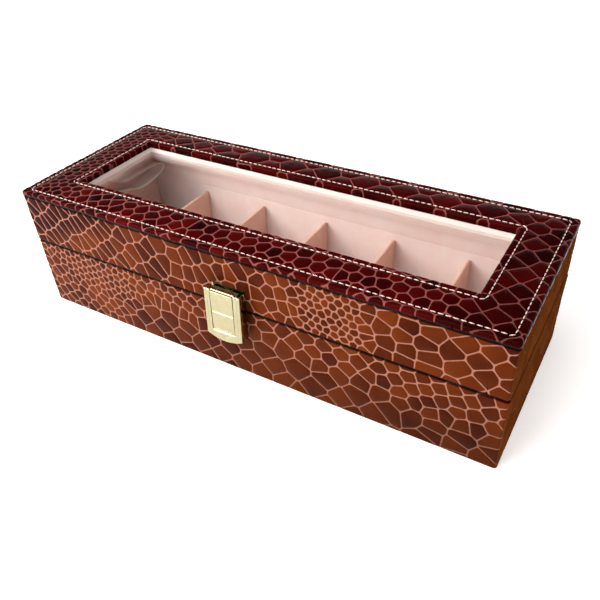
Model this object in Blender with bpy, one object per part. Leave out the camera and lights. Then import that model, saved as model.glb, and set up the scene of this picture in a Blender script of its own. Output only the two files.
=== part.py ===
"""Watch box with six compartments: a board box and a windowed lid, both covered in leather and lined with velvet.

Units are metres. X runs along the length, -Y is the front with the latch, and Z is up from the resting face.
The origin is the middle of the resting face.
"""

import math

import bmesh
import bpy
from mathutils import Matrix, Vector

# Driving sizes of the box.
LENGTH = 0.300
WIDTH = 0.110
SEAM_Z = 0.0466
GAP = 0.0003

# Sheet and board thicknesses.
LEATHER = 0.0009
BOARD = 0.0046
LINING = 0.0009
FLOOR_BOARD = 0.0030
TOP_BOARD = 0.0020
GLASS = 0.0019

# How far the leather turns over the boards, measured from the outer face.
FOOT_TURN = 0.008
TOP_TURN = 0.010
RIM_TURN = LEATHER + GAP + BOARD

# Half sizes of each layer of the walls, from the outside in.
HALF_X = LENGTH / 2
HALF_Y = WIDTH / 2
BOARD_X = HALF_X - LEATHER - GAP
BOARD_Y = HALF_Y - LEATHER - GAP
LINING_X = BOARD_X - BOARD - GAP
LINING_Y = BOARD_Y - BOARD - GAP
INNER_X = LINING_X - LINING
INNER_Y = LINING_Y - LINING

# Levels of the base.
BASE_TOP = SEAM_Z - GAP / 2
FLOOR_Z = LEATHER + GAP
FLOOR_LINING_Z = FLOOR_Z + FLOOR_BOARD + GAP
BAY_Z = FLOOR_LINING_Z + LINING + GAP

# Levels of the lid.
LID_BOTTOM = SEAM_Z + GAP / 2
WALL_TOP = 0.0778
TOP_BOARD_TOP = WALL_TOP - LEATHER - GAP
TOP_BOARD_BOTTOM = TOP_BOARD_TOP - TOP_BOARD
LID_WALL_TOP = TOP_BOARD_BOTTOM - GAP
GLASS_BOTTOM = LID_WALL_TOP - GLASS

# Window in the lid.
WINDOW_X = 0.1245
WINDOW_Y = 0.0304
EDGE_LINING = 0.0006
GLASS_X = 0.131
GLASS_Y = 0.037
RETAINER_OVERLAP = 0.004
RETAINER = 0.0025

# Compartments.
BAYS = 6
DIVIDER = 0.0020
DIVIDER_TOP = 0.0425
BAY_PITCH = (2 * INNER_X + DIVIDER) / BAYS
CUSHION_SIZE = Vector((0.0444, 0.0620, 0.0335))
CUSHION_EDGE = 0.009

# Hinges at the back.
HINGE_X = 0.095
HINGE_LENGTH = 0.022
HINGE_PLATE = 0.0008
KNUCKLE_R = 0.0015
HINGE_PIN_R = 0.0007
HINGE_STAND_OFF = 0.0016
HINGE_Y = HALF_Y + GAP + HINGE_STAND_OFF
LEAF_REACH = 0.0105
LEAF_START = 0.0018
SCREW_SPREAD = 0.006
SCREW_DROP = 0.0066
SCREW_HEAD_R = 0.0018
SCREW_HEAD = 0.0007
SCREW_SHANK_R = 0.0009
SCREW_LENGTH = 0.0060
SCREW_HOLE_SPARE = 0.0035
HOLE_SLACK = 0.0003

# Latch at the front.
PLATE = 0.0006
PLATE_Y = -HALF_Y - GAP
PIVOT_Y = -0.0592
PIVOT_Z = 0.0575
LATCH_PIN_R = 0.0006
LEVER_HALF = 0.0114
LEVER_WALL = 0.0008
LEVER_SKIN = 0.0013
LEVER_RECESS = 0.0008
LEVER_TOP = 0.0602
LEVER_SIDE_BOTTOM = 0.0320
LEVER_MIDDLE_BOTTOM = 0.0293
LEVER_BACK_Y = -0.0579
LEVER_FACE_TOP_Y = -0.0620
LEVER_FACE_BOTTOM_Y = -0.0646
PANEL_HALF = 0.0071
PANEL_BOTTOM = 0.0352
PANEL_PROUD = 0.0002
PANEL_SINK = 0.0006
HOOK_TAB_HALF = 0.005
HOOK_TAB_Z = 0.0370
NOTCH_SIDE = 0.0004
NOTCH_DEPTH = 0.0004
LID_PLATE_BOTTOM = 0.0480
LID_PLATE_TOP = 0.0604
EAR_INNER = 0.0094
EAR_OUTER = 0.0102
EAR_R = 0.0014
EAR_WEB_TOP = 0.0006
EAR_WEB_DROP = 0.0035
KEEPER_HALF = 0.0075
KEEPER_BOTTOM = 0.0335
KEEPER_TOP = 0.0453
KEEPER_NOSE_Z = 0.0410
KEEPER_NOSE_HALF = 0.005
KEEPER_NOSE_R = 0.0015
PRONG_R = 0.0006
PRONG_LENGTH = 0.0045
LID_PRONGS = ((-0.006, 0.0515), (0.006, 0.0515))
KEEPER_PRONGS = ((-0.005, 0.0365), (0.005, 0.0365))

# Lid stay ribbon at the left end.
RIBBON_WIDTH = 0.012
RIBBON_THICKNESS = 0.0006

# How far a cutter reaches past what it cuts, and how far two joined pieces overlap.
CUT_MARGIN = 0.002
JOIN = 0.0002
EAR_JOIN = 0.0001

ROUND_SIDES = 16


def finish(name, colour, roughness, metallic=0.0, alpha=1.0):
    """A Principled material, made once for each name."""
    material = bpy.data.materials.get(name)
    if material is None:
        material = bpy.data.materials.new(name)
        material.use_nodes = True
        shader = material.node_tree.nodes["Principled BSDF"]
        shader.inputs["Base Color"].default_value = (*colour, 1.0)
        shader.inputs["Roughness"].default_value = roughness
        shader.inputs["Metallic"].default_value = metallic
        shader.inputs["Alpha"].default_value = alpha
    return material


def leather():
    return finish("embossed_leather", (0.13, 0.035, 0.012), 0.25)


def board():
    return finish("fibreboard", (0.42, 0.28, 0.16), 0.8)


def velvet():
    return finish("velvet", (0.62, 0.42, 0.34), 0.95)


def gilt():
    return finish("champagne_metal", (0.80, 0.76, 0.52), 0.2, 1.0)


def add_empty(name, place):
    """An empty on a joint's axis, which the moving pieces are parented to."""
    empty = bpy.data.objects.new(name, None)
    empty.location = place
    bpy.context.scene.collection.objects.link(empty)
    return empty


def add_piece(name, bm, material, parent=None, origin=(0, 0, 0)):
    """Makes an object of a bmesh held in world places, with its origin at the given point."""
    bmesh.ops.recalc_face_normals(bm, faces=bm.faces)
    bmesh.ops.translate(bm, verts=bm.verts, vec=-Vector(origin))
    mesh = bpy.data.meshes.new(name)
    bm.to_mesh(mesh)
    bm.free()
    mesh.materials.append(material)
    piece = bpy.data.objects.new(name, mesh)
    bpy.context.scene.collection.objects.link(piece)
    piece.parent = parent
    piece.location = Vector(origin) - (parent.location if parent else Vector())
    return piece


def helper(piece):
    """Marks a cutter or a joined shape, which isn't a piece of the box."""
    piece.hide_render = True
    piece.display_type = "WIRE"
    return piece


def boolean(piece, other, operation):
    modifier = piece.modifiers.new(f"{operation.lower()}_{other.name}", "BOOLEAN")
    modifier.operation = operation
    modifier.solver = "EXACT"
    modifier.object = other


def box_mesh(low, high):
    low, high = Vector(low), Vector(high)
    bm = bmesh.new()
    place = Matrix.Translation((low + high) / 2) @ Matrix.Diagonal((*(high - low), 1))
    bmesh.ops.create_cube(bm, size=1, matrix=place)
    return bm


def add_box(name, low, high, material, parent=None):
    return add_piece(name, box_mesh(low, high), material, parent, (Vector(low) + Vector(high)) / 2)


def add_rod(bm, start, end, radius, sides=ROUND_SIDES):
    """Adds a closed cylinder between two points."""
    start, end = Vector(start), Vector(end)
    turn = (end - start).to_track_quat("Z", "Y").to_matrix().to_4x4()
    place = Matrix.Translation((start + end) / 2) @ turn
    bmesh.ops.create_cone(
        bm, cap_ends=True, segments=sides, radius1=radius, radius2=radius, depth=(end - start).length, matrix=place
    )


def frame_mesh(section):
    """A closed rectangular ring. section lists its cross-section's corners as (half length, half width, level)."""
    bm = bmesh.new()
    corners = []
    for side_x, side_y in ((1, 1), (-1, 1), (-1, -1), (1, -1)):
        corners.append([bm.verts.new((side_x * x, side_y * y, z)) for x, y, z in section])
    for k, ring in enumerate(corners):
        following = corners[(k + 1) % 4]
        for i in range(len(section)):
            j = (i + 1) % len(section)
            bm.faces.new((ring[i], ring[j], following[j], following[i]))
    return bm


def extrude_x(outline, low, high):
    """A solid with an outline in the (y, z) plane, from x = low to x = high."""
    bm = bmesh.new()
    face = bm.faces.new([bm.verts.new((low, y, z)) for y, z in outline])
    made = bmesh.ops.extrude_face_region(bm, geom=[face])["geom"]
    moved = [v for v in made if isinstance(v, bmesh.types.BMVert)]
    bmesh.ops.translate(bm, verts=moved, vec=(high - low, 0, 0))
    return bm


def wrap_section(bottom, top, low_turn, high_turn):
    """Cross-section of a leather cover: the outer sheet with its lower and upper edges turned in."""
    outer = ((0, bottom), (0, top), (high_turn, top), (high_turn, top - LEATHER))
    inner = ((LEATHER, top - LEATHER), (LEATHER, bottom + LEATHER), (low_turn, bottom + LEATHER), (low_turn, bottom))
    return [(HALF_X - inset, HALF_Y - inset, z) for inset, z in outer + inner]


def add_walls(owner, layer, half_x, half_y, thick, low, high, material, parent=None):
    """Four upright sheets of one layer: front and back at full length, left and right between them."""
    sheets = {}
    for side, end in (("front", -1), ("back", 1)):
        near, far = sorted((end * half_y, end * (half_y - thick)))
        name = f"{owner}_{side}_{layer}"
        sheets[side] = add_box(name, (-half_x, near, low), (half_x, far, high), material, parent)
    between = half_y - thick - GAP
    for side, end in (("left", -1), ("right", 1)):
        near, far = sorted((end * half_x, end * (half_x - thick)))
        name = f"{owner}_{side}_{layer}"
        sheets[side] = add_box(name, (near, -between, low), (far, between, high), material, parent)
    return sheets


def make_base():
    """The base tray: boards, leather cover, underside sheet, lining and dividers."""
    cover = frame_mesh(wrap_section(0, BASE_TOP, FOOT_TURN, RIM_TURN))
    wrap = add_piece("base_leather_wrap", cover, leather())
    walls = add_walls("base", "panel", BOARD_X, BOARD_Y, BOARD, FLOOR_Z, BASE_TOP - LEATHER - GAP, board())
    floor_high = (LINING_X, LINING_Y, FLOOR_Z + FLOOR_BOARD)
    add_box("base_floor_panel", (-LINING_X, -LINING_Y, FLOOR_Z), floor_high, board())
    sheet_x = HALF_X - FOOT_TURN - GAP
    sheet_y = HALF_Y - FOOT_TURN - GAP
    felt = finish("underside_felt", (0.06, 0.05, 0.05), 0.95)
    add_box("base_underside_sheet", (-sheet_x, -sheet_y, 0), (sheet_x, sheet_y, LEATHER), felt)
    add_walls("base", "lining", LINING_X, LINING_Y, LINING, BAY_Z, BASE_TOP - GAP / 2, velvet())
    floor_lining_high = (LINING_X, LINING_Y, FLOOR_LINING_Z + LINING)
    add_box("base_floor_lining", (-LINING_X, -LINING_Y, FLOOR_LINING_Z), floor_lining_high, velvet())
    reach = INNER_Y - GAP
    for k in range(1, BAYS):
        x = (k - BAYS / 2) * BAY_PITCH
        low = (x - DIVIDER / 2, -reach, BAY_Z)
        add_box(f"divider_{k}", low, (x + DIVIDER / 2, reach, DIVIDER_TOP), velvet())
    return wrap, walls


def make_cushions():
    """Six watch cushions, each loose in its compartment."""
    for k in range(BAYS):
        seat = Vector(((k - (BAYS - 1) / 2) * BAY_PITCH, 0, BAY_Z))
        half = Vector((CUSHION_SIZE.x / 2, CUSHION_SIZE.y / 2, 0))
        shape = box_mesh(seat - half, seat + half + Vector((0, 0, CUSHION_SIZE.z)))
        cushion = add_piece(f"cushion_{k + 1}", shape, velvet(), None, seat)
        bevel = cushion.modifiers.new("soft_edges", "BEVEL")
        bevel.width = CUSHION_EDGE
        bevel.segments = 3


def make_lid(lid_axis):
    """The lid: wall boards, top board with its window, leather cover, padded top frame, glass and lining."""
    cover = frame_mesh(wrap_section(LID_BOTTOM, WALL_TOP, RIM_TURN, TOP_TURN))
    wrap = add_piece("lid_leather_wrap", cover, leather(), lid_axis)
    board_low = LID_BOTTOM + LEATHER + GAP
    walls = add_walls("lid", "panel", BOARD_X, BOARD_Y, BOARD, board_low, LID_WALL_TOP, board(), lid_axis)
    add_walls("lid", "lining", LINING_X, LINING_Y, LINING, LID_BOTTOM + GAP, LID_WALL_TOP, velvet(), lid_axis)

    edge_x = WINDOW_X + EDGE_LINING
    edge_y = WINDOW_Y + EDGE_LINING
    rim_x = edge_x + GAP
    rim_y = edge_y + GAP
    top_section = [(BOARD_X, BOARD_Y, TOP_BOARD_BOTTOM), (BOARD_X, BOARD_Y, TOP_BOARD_TOP)]
    top_section += [(rim_x, rim_y, TOP_BOARD_TOP), (rim_x, rim_y, TOP_BOARD_BOTTOM)]
    add_piece("lid_top_board", frame_mesh(top_section), board(), lid_axis)
    edge_section = [(edge_x, edge_y, TOP_BOARD_BOTTOM), (edge_x, edge_y, WALL_TOP)]
    edge_section += [(WINDOW_X, WINDOW_Y, WALL_TOP), (WINDOW_X, WINDOW_Y, TOP_BOARD_BOTTOM)]
    add_piece("window_edge_lining", frame_mesh(edge_section), velvet(), lid_axis)

    clear = finish("window_glass", (0.95, 0.97, 0.96), 0.03, 0.0, 0.2)
    glass_high = (GLASS_X, GLASS_Y, LID_WALL_TOP)
    add_box("window_glass", (-GLASS_X, -GLASS_Y, GLASS_BOTTOM), glass_high, clear, lid_axis)
    outer = (INNER_X - GAP, INNER_Y - GAP)
    step = (GLASS_X + GAP, GLASS_Y + GAP)
    inner = (GLASS_X - RETAINER_OVERLAP, GLASS_Y - RETAINER_OVERLAP)
    shelf = GLASS_BOTTOM - GAP
    retainer = [(*outer, LID_WALL_TOP), (*step, LID_WALL_TOP), (*step, shelf), (*inner, shelf)]
    retainer += [(*inner, shelf - RETAINER), (*outer, shelf - RETAINER)]
    add_piece("window_retainer", frame_mesh(retainer), velvet(), lid_axis)
    add_piece("lid_top_leather_frame", frame_mesh(padded_section()), leather(), lid_axis)
    return wrap, walls


def padded_section():
    """Cross-section of the padded leather frame: rounded edges, two sewn grooves and a fuller inner half."""
    foot = WALL_TOP + GAP
    outer = (
        (0.0000, foot),
        (-0.0003, foot + 0.0010),
        (-0.0001, foot + 0.0023),
        (0.0010, foot + 0.0030),
        (0.0042, foot + 0.0027),
        (0.0090, foot + 0.0035),
    )
    inner = (
        (0.0085, foot + 0.0038),
        (0.0035, foot + 0.0034),
        (0.0014, foot + 0.0037),
        (0.0000, foot + 0.0032),
        (-0.0004, foot + 0.0015),
        (-0.0003, foot),
    )
    section = [(HALF_X - inset, HALF_Y - inset, z) for inset, z in outer]
    section += [(WINDOW_X + out, WINDOW_Y + out, z) for out, z in inner]
    return section


def knuckle_outline(toward):
    """Outline of a hinge knuckle with the neck that joins it to its leaf; toward is -1 for down and 1 for up."""
    points = []
    for step in range(ROUND_SIDES + 1):
        angle = math.pi * 1.5 * step / ROUND_SIDES
        y = -KNUCKLE_R * math.cos(angle)
        z = -toward * KNUCKLE_R * math.sin(angle)
        points.append((HINGE_Y + y, SEAM_Z + z))
    neck = HALF_Y + GAP + HINGE_PLATE
    reach = SEAM_Z + toward * (LEAF_START + HINGE_PLATE)
    points = [p for p in points if not (p[0] > neck and toward * (p[1] - SEAM_Z) > KNUCKLE_R * 0.98)]
    points += [(neck, SEAM_Z + toward * KNUCKLE_R), (neck, reach), (HALF_Y + GAP, reach)]
    return points


def make_hinges(lid_axis):
    """Two small butt hinges on the back, each with two leaves, a pin and four screws."""
    holes = {"base": bmesh.new(), "lid": bmesh.new()}
    bores = bmesh.new()
    third = HINGE_LENGTH / 3
    leaves = []
    for side, x in (("left", -HINGE_X), ("right", HINGE_X)):
        ends = (Vector((x - HINGE_LENGTH / 2, HINGE_Y, SEAM_Z)), Vector((x + HINGE_LENGTH / 2, HINGE_Y, SEAM_Z)))
        margin = Vector((CUT_MARGIN, 0, 0))
        add_rod(bores, ends[0] - margin, ends[1] + margin, HINGE_PIN_R + HOLE_SLACK)
        pin = bmesh.new()
        add_rod(pin, *ends, HINGE_PIN_R, 12)
        add_piece(f"hinge_{side}_pin", pin, gilt(), None, (x, HINGE_Y, SEAM_Z))
        for owner, toward, parent in (("base", -1, None), ("lid", 1, lid_axis)):
            near = SEAM_Z + toward * LEAF_START
            far = SEAM_Z + toward * (LEAF_START + LEAF_REACH)
            low = (x - HINGE_LENGTH / 2, HALF_Y + GAP, min(near, far))
            high = (x + HINGE_LENGTH / 2, HALF_Y + GAP + HINGE_PLATE, max(near, far))
            leaf = add_piece(f"hinge_{side}_{owner}_leaf", box_mesh(low, high), gilt(), parent)
            spans = [(-1.5, -0.5), (0.5, 1.5)] if owner == "base" else [(-0.5, 0.5)]
            for n, (start, end) in enumerate(spans):
                trim = GAP / 2
                knuckle = extrude_x(knuckle_outline(toward), x + start * third + trim, x + end * third - trim)
                joined = add_piece(f"knuckle_{side}_{owner}_{n}", knuckle, gilt(), parent)
                boolean(leaf, helper(joined), "UNION")
            leaves.append((leaf, owner))
            for n, slide in enumerate((-SCREW_SPREAD, SCREW_SPREAD)):
                z = SEAM_Z + toward * SCREW_DROP
                add_screw(f"hinge_{side}_{owner}_screw_{n + 1}", x + slide, z, parent)
                start = Vector((x + slide, HINGE_Y + CUT_MARGIN, z))
                deep = start - Vector((0, SCREW_LENGTH + SCREW_HOLE_SPARE, 0))
                add_rod(holes[owner], start, deep, SCREW_SHANK_R + HOLE_SLACK, 12)
    bore = helper(add_piece("hinge_pin_bores", bores, gilt()))
    cutters = {}
    for owner, bm in holes.items():
        cutters[owner] = helper(add_piece(f"{owner}_hinge_screw_holes", bm, gilt()))
    for leaf, owner in leaves:
        boolean(leaf, bore, "DIFFERENCE")
        boolean(leaf, cutters[owner], "DIFFERENCE")
    return cutters


def add_screw(name, x, z, parent):
    """A dome-headed screw driven forward into the back board, made by turning its half outline."""
    seat = HALF_Y + GAP + HINGE_PLATE + GAP
    outline = (
        (0.0, SCREW_HEAD),
        (SCREW_HEAD_R * 0.55, SCREW_HEAD * 0.86),
        (SCREW_HEAD_R, SCREW_HEAD * 0.3),
        (SCREW_HEAD_R, 0.0),
        (SCREW_SHANK_R, 0.0),
        (SCREW_SHANK_R, SCREW_HEAD + SCREW_SHANK_R - SCREW_LENGTH),
        (0.0, SCREW_HEAD - SCREW_LENGTH),
    )
    bm = bmesh.new()
    line = [bm.verts.new((x + r, seat + y, z)) for r, y in outline]
    edges = [bm.edges.new(pair) for pair in zip(line, line[1:])]
    centre = (x, seat, z)
    bmesh.ops.spin(bm, geom=line + edges, cent=centre, axis=(0, 1, 0), angle=math.tau, steps=12, use_merge=True)
    bmesh.ops.remove_doubles(bm, verts=bm.verts, dist=1e-6)
    add_piece(name, bm, gilt(), parent, centre)


def face_y(z):
    """Where the lever's front face lies at a level: its foot stands a little forward of its head."""
    share = (LEVER_TOP - z) / (LEVER_TOP - LEVER_SIDE_BOTTOM)
    return LEVER_FACE_TOP_Y + share * (LEVER_FACE_BOTTOM_Y - LEVER_FACE_TOP_Y)


def lever_outline():
    """Front outline of the lever in x and z: straight sides and a bowed lower edge."""
    points = [(LEVER_HALF, LEVER_TOP), (-LEVER_HALF, LEVER_TOP)]
    steps = 12
    for step in range(steps + 1):
        x = LEVER_HALF * (2 * step / steps - 1)
        bow = 1 - (x / LEVER_HALF) ** 2
        points.append((x, LEVER_SIDE_BOTTOM - bow * (LEVER_SIDE_BOTTOM - LEVER_MIDDLE_BOTTOM)))
    return points


def sloped_mesh(outline, front, back):
    """A solid with an outline in x and z; front and back give its y at each level."""
    bm = bmesh.new()
    near = [bm.verts.new((x, front(z), z)) for x, z in outline]
    far = [bm.verts.new((x, back(z), z)) for x, z in outline]
    bm.faces.new(near)
    bm.faces.new(far)
    count = len(outline)
    for i in range(count):
        j = (i + 1) % count
        bm.faces.new((near[i], near[j], far[j], far[i]))
    return bm


def rectangle(half, low, high):
    return [(half, high), (-half, high), (-half, low), (half, low)]


def make_lever(lever_axis):
    """The lever of the latch: a shallow pressed tray that hangs from the pin, with a hook tab and a face panel."""
    origin = lever_axis.location
    tray = sloped_mesh(lever_outline(), face_y, lambda z: LEVER_BACK_Y)
    lever = add_piece("latch_lever", tray, gilt(), lever_axis, origin)
    inner_top = LEVER_TOP - LEVER_WALL
    hollow = rectangle(LEVER_HALF - LEVER_WALL, LEVER_MIDDLE_BOTTOM - CUT_MARGIN, inner_top)
    hollow = sloped_mesh(hollow, lambda z: face_y(z) + LEVER_SKIN, lambda z: LEVER_BACK_Y + CUT_MARGIN)
    boolean(lever, helper(add_piece("lever_hollow", hollow, gilt())), "DIFFERENCE")
    recess = rectangle(PANEL_HALF + GAP, PANEL_BOTTOM - GAP, LEVER_TOP + CUT_MARGIN)
    recess = sloped_mesh(recess, lambda z: face_y(z) - CUT_MARGIN, lambda z: face_y(z) + LEVER_RECESS)
    boolean(lever, helper(add_piece("lever_recess", recess, gilt())), "DIFFERENCE")
    low = (-HOOK_TAB_HALF, face_y(HOOK_TAB_Z) + LEVER_RECESS + JOIN, HOOK_TAB_Z)
    tab = box_mesh(low, (HOOK_TAB_HALF, LEVER_BACK_Y, HOOK_TAB_Z + LEVER_WALL))
    boolean(lever, helper(add_piece("lever_hook_tab", tab, gilt())), "UNION")
    for side in (-1, 1):
        near, far = sorted((side * (EAR_INNER - NOTCH_SIDE), side * (LEVER_HALF - LEVER_WALL + EAR_JOIN)))
        low = (near, PIVOT_Y - EAR_R, inner_top - NOTCH_DEPTH)
        notch = box_mesh(low, (far, LEVER_BACK_Y + CUT_MARGIN, LEVER_TOP + CUT_MARGIN))
        boolean(lever, helper(add_piece(f"lever_notch_{side}", notch, gilt())), "DIFFERENCE")
    panel = rectangle(PANEL_HALF, PANEL_BOTTOM, LEVER_TOP - GAP)
    height = LEVER_TOP - PANEL_BOTTOM
    panel = sloped_mesh(
        panel,
        lambda z: face_y(z) + PANEL_PROUD - PANEL_SINK * (z - PANEL_BOTTOM) / height,
        lambda z: face_y(z) + LEVER_RECESS - GAP,
    )
    add_piece("latch_face_panel", panel, gilt(), lever_axis, origin)
    return lever


def ear_outline():
    """Side outline of an ear of the lid plate in y and z: an eye round the pin and a web back to the plate."""
    start = math.asin(EAR_WEB_TOP / EAR_R)
    points = []
    for step in range(ROUND_SIDES + 1):
        angle = start + (1.5 * math.pi - start) * step / ROUND_SIDES
        points.append((PIVOT_Y + EAR_R * math.cos(angle), PIVOT_Z + EAR_R * math.sin(angle)))
    back = PLATE_Y - PLATE / 2
    return points + [(back, PIVOT_Z - EAR_WEB_DROP), (back, PIVOT_Z + EAR_WEB_TOP)]


def nose_outline(middle):
    """Half-round outline of the keeper's nose in y and z."""
    points = []
    for step in range(ROUND_SIDES + 1):
        angle = math.pi * step / ROUND_SIDES
        y = PLATE_Y - PLATE / 2 - KEEPER_NOSE_R * math.sin(angle)
        points.append((y, middle - KEEPER_NOSE_R * math.cos(angle)))
    return points


def add_prongs(plate, prongs, holes, parent):
    """Two prongs clinched into the board behind a latch plate, and the cutters for their holes."""
    start_y = PLATE_Y - PLATE / 2
    for n, (x, z) in enumerate(prongs):
        prong = bmesh.new()
        add_rod(prong, (x, start_y, z), (x, start_y + PRONG_LENGTH, z), PRONG_R, 10)
        joined = add_piece(f"{plate.name}_prong_{n}", prong, gilt(), parent)
        boolean(plate, helper(joined), "UNION")
        end_y = start_y + PRONG_LENGTH + HOLE_SLACK
        add_rod(holes, (x, start_y - CUT_MARGIN, z), (x, end_y, z), PRONG_R + HOLE_SLACK, 10)


def make_latch(lid_axis, lever_axis):
    """The latch on the front: a plate with ears on the lid, a pin, the lever, and a keeper on the base."""
    low = (-EAR_OUTER, PLATE_Y - PLATE, LID_PLATE_BOTTOM)
    plate = add_piece("latch_lid_plate", box_mesh(low, (EAR_OUTER, PLATE_Y, LID_PLATE_TOP)), gilt(), lid_axis)
    for side in (-1, 1):
        near, far = sorted((side * EAR_INNER, side * (EAR_OUTER - EAR_JOIN)))
        ear = add_piece(f"latch_ear_{side}", extrude_x(ear_outline(), near, far), gilt(), lid_axis)
        boolean(plate, helper(ear), "UNION")
    lid_holes = bmesh.new()
    add_prongs(plate, LID_PRONGS, lid_holes, lid_axis)

    low = (-KEEPER_HALF, PLATE_Y - PLATE, KEEPER_BOTTOM)
    keeper = add_piece("latch_keeper_plate", box_mesh(low, (KEEPER_HALF, PLATE_Y, KEEPER_TOP)), gilt())
    nose = extrude_x(nose_outline(KEEPER_NOSE_Z), -KEEPER_NOSE_HALF, KEEPER_NOSE_HALF)
    boolean(keeper, helper(add_piece("keeper_nose", nose, gilt())), "UNION")
    base_holes = bmesh.new()
    add_prongs(keeper, KEEPER_PRONGS, base_holes, None)

    lever = make_lever(lever_axis)
    bore = bmesh.new()
    reach = LEVER_HALF + CUT_MARGIN
    add_rod(bore, (-reach, PIVOT_Y, PIVOT_Z), (reach, PIVOT_Y, PIVOT_Z), LATCH_PIN_R + HOLE_SLACK)
    bore = helper(add_piece("latch_pin_bore", bore, gilt()))
    boolean(plate, bore, "DIFFERENCE")
    boolean(lever, bore, "DIFFERENCE")
    pin = bmesh.new()
    add_rod(pin, (-LEVER_HALF, PIVOT_Y, PIVOT_Z), (LEVER_HALF, PIVOT_Y, PIVOT_Z), LATCH_PIN_R, 12)
    add_piece("latch_pin", pin, gilt(), lid_axis, (0, PIVOT_Y, PIVOT_Z))
    lid_cutter = helper(add_piece("lid_prong_holes", lid_holes, gilt()))
    base_cutter = helper(add_piece("base_prong_holes", base_holes, gilt()))
    return lid_cutter, base_cutter


def make_ribbon():
    """The lid stay at the left end: a ribbon from the base wall to the lid wall, folded back on itself when shut."""
    wall_x = -INNER_X + GAP + RIBBON_THICKNESS / 2
    # Each point is (x from the wall, y, z, share of the quarter twist from upright to flat).
    route = (
        (0.0000, 0.0060, 0.0425, 0.0),
        (0.0000, 0.0066, 0.0452, 0.0),
        (0.0042, 0.0120, 0.0484, 0.4),
        (0.0064, 0.0200, 0.0498, 0.9),
        (0.0066, 0.0300, 0.0507, 1.0),
        (0.0066, 0.0390, 0.0520, 1.0),
        (0.0066, 0.0432, 0.0540, 1.0),
        (0.0066, 0.0446, 0.0562, 1.0),
        (0.0066, 0.0432, 0.0584, 1.0),
        (0.0066, 0.0390, 0.0597, 1.0),
        (0.0066, 0.0300, 0.0603, 1.0),
        (0.0064, 0.0200, 0.0611, 0.9),
        (0.0042, 0.0120, 0.0624, 0.4),
        (0.0000, 0.0066, 0.0652, 0.0),
        (0.0000, 0.0060, 0.0680, 0.0),
    )
    centres = [Vector((wall_x + x, y, z)) for x, y, z, twist in route]
    bm = bmesh.new()
    rings = []
    for k, (x, y, z, twist) in enumerate(route):
        before = centres[max(k - 1, 0)]
        after = centres[min(k + 1, len(centres) - 1)]
        along = (after - before).normalized()
        upright = along.cross(Vector((1, 0, 0))).normalized()
        across = upright.lerp(Vector((-1, 0, 0)), twist).normalized()
        across = (across - along * across.dot(along)).normalized()
        out = along.cross(across).normalized()
        corners = ((1, 1), (-1, 1), (-1, -1), (1, -1))
        ring = []
        for side, face in corners:
            offset = across * (side * RIBBON_WIDTH / 2) + out * (face * RIBBON_THICKNESS / 2)
            ring.append(bm.verts.new(centres[k] + offset))
        rings.append(ring)
    for ring, following in zip(rings, rings[1:]):
        for i in range(4):
            j = (i + 1) % 4
            bm.faces.new((ring[i], ring[j], following[j], following[i]))
    bm.faces.new(rings[0])
    bm.faces.new(rings[-1])
    satin = finish("satin_ribbon", (0.66, 0.46, 0.38), 0.5)
    add_piece("lid_stay_ribbon", bm, satin)


def main():
    for stale in list(bpy.data.objects):
        bpy.data.objects.remove(stale)
    lid_axis = add_empty("lid_hinge_axis", (0, HINGE_Y, SEAM_Z))
    lever_axis = add_empty("latch_lever_axis", (0, PIVOT_Y, PIVOT_Z))
    base_wrap, base_walls = make_base()
    lid_wrap, lid_walls = make_lid(lid_axis)
    make_cushions()
    screw_holes = make_hinges(lid_axis)
    lid_prong_holes, base_prong_holes = make_latch(lid_axis, lever_axis)
    make_ribbon()
    boolean(base_wrap, screw_holes["base"], "DIFFERENCE")
    boolean(base_walls["back"], screw_holes["base"], "DIFFERENCE")
    boolean(lid_wrap, screw_holes["lid"], "DIFFERENCE")
    boolean(lid_walls["back"], screw_holes["lid"], "DIFFERENCE")
    boolean(base_wrap, base_prong_holes, "DIFFERENCE")
    boolean(base_walls["front"], base_prong_holes, "DIFFERENCE")
    boolean(lid_wrap, lid_prong_holes, "DIFFERENCE")
    boolean(lid_walls["front"], lid_prong_holes, "DIFFERENCE")


main()
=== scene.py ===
import math
import random

import bmesh
import bpy
import numpy as np
from mathutils import Matrix, Vector


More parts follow.
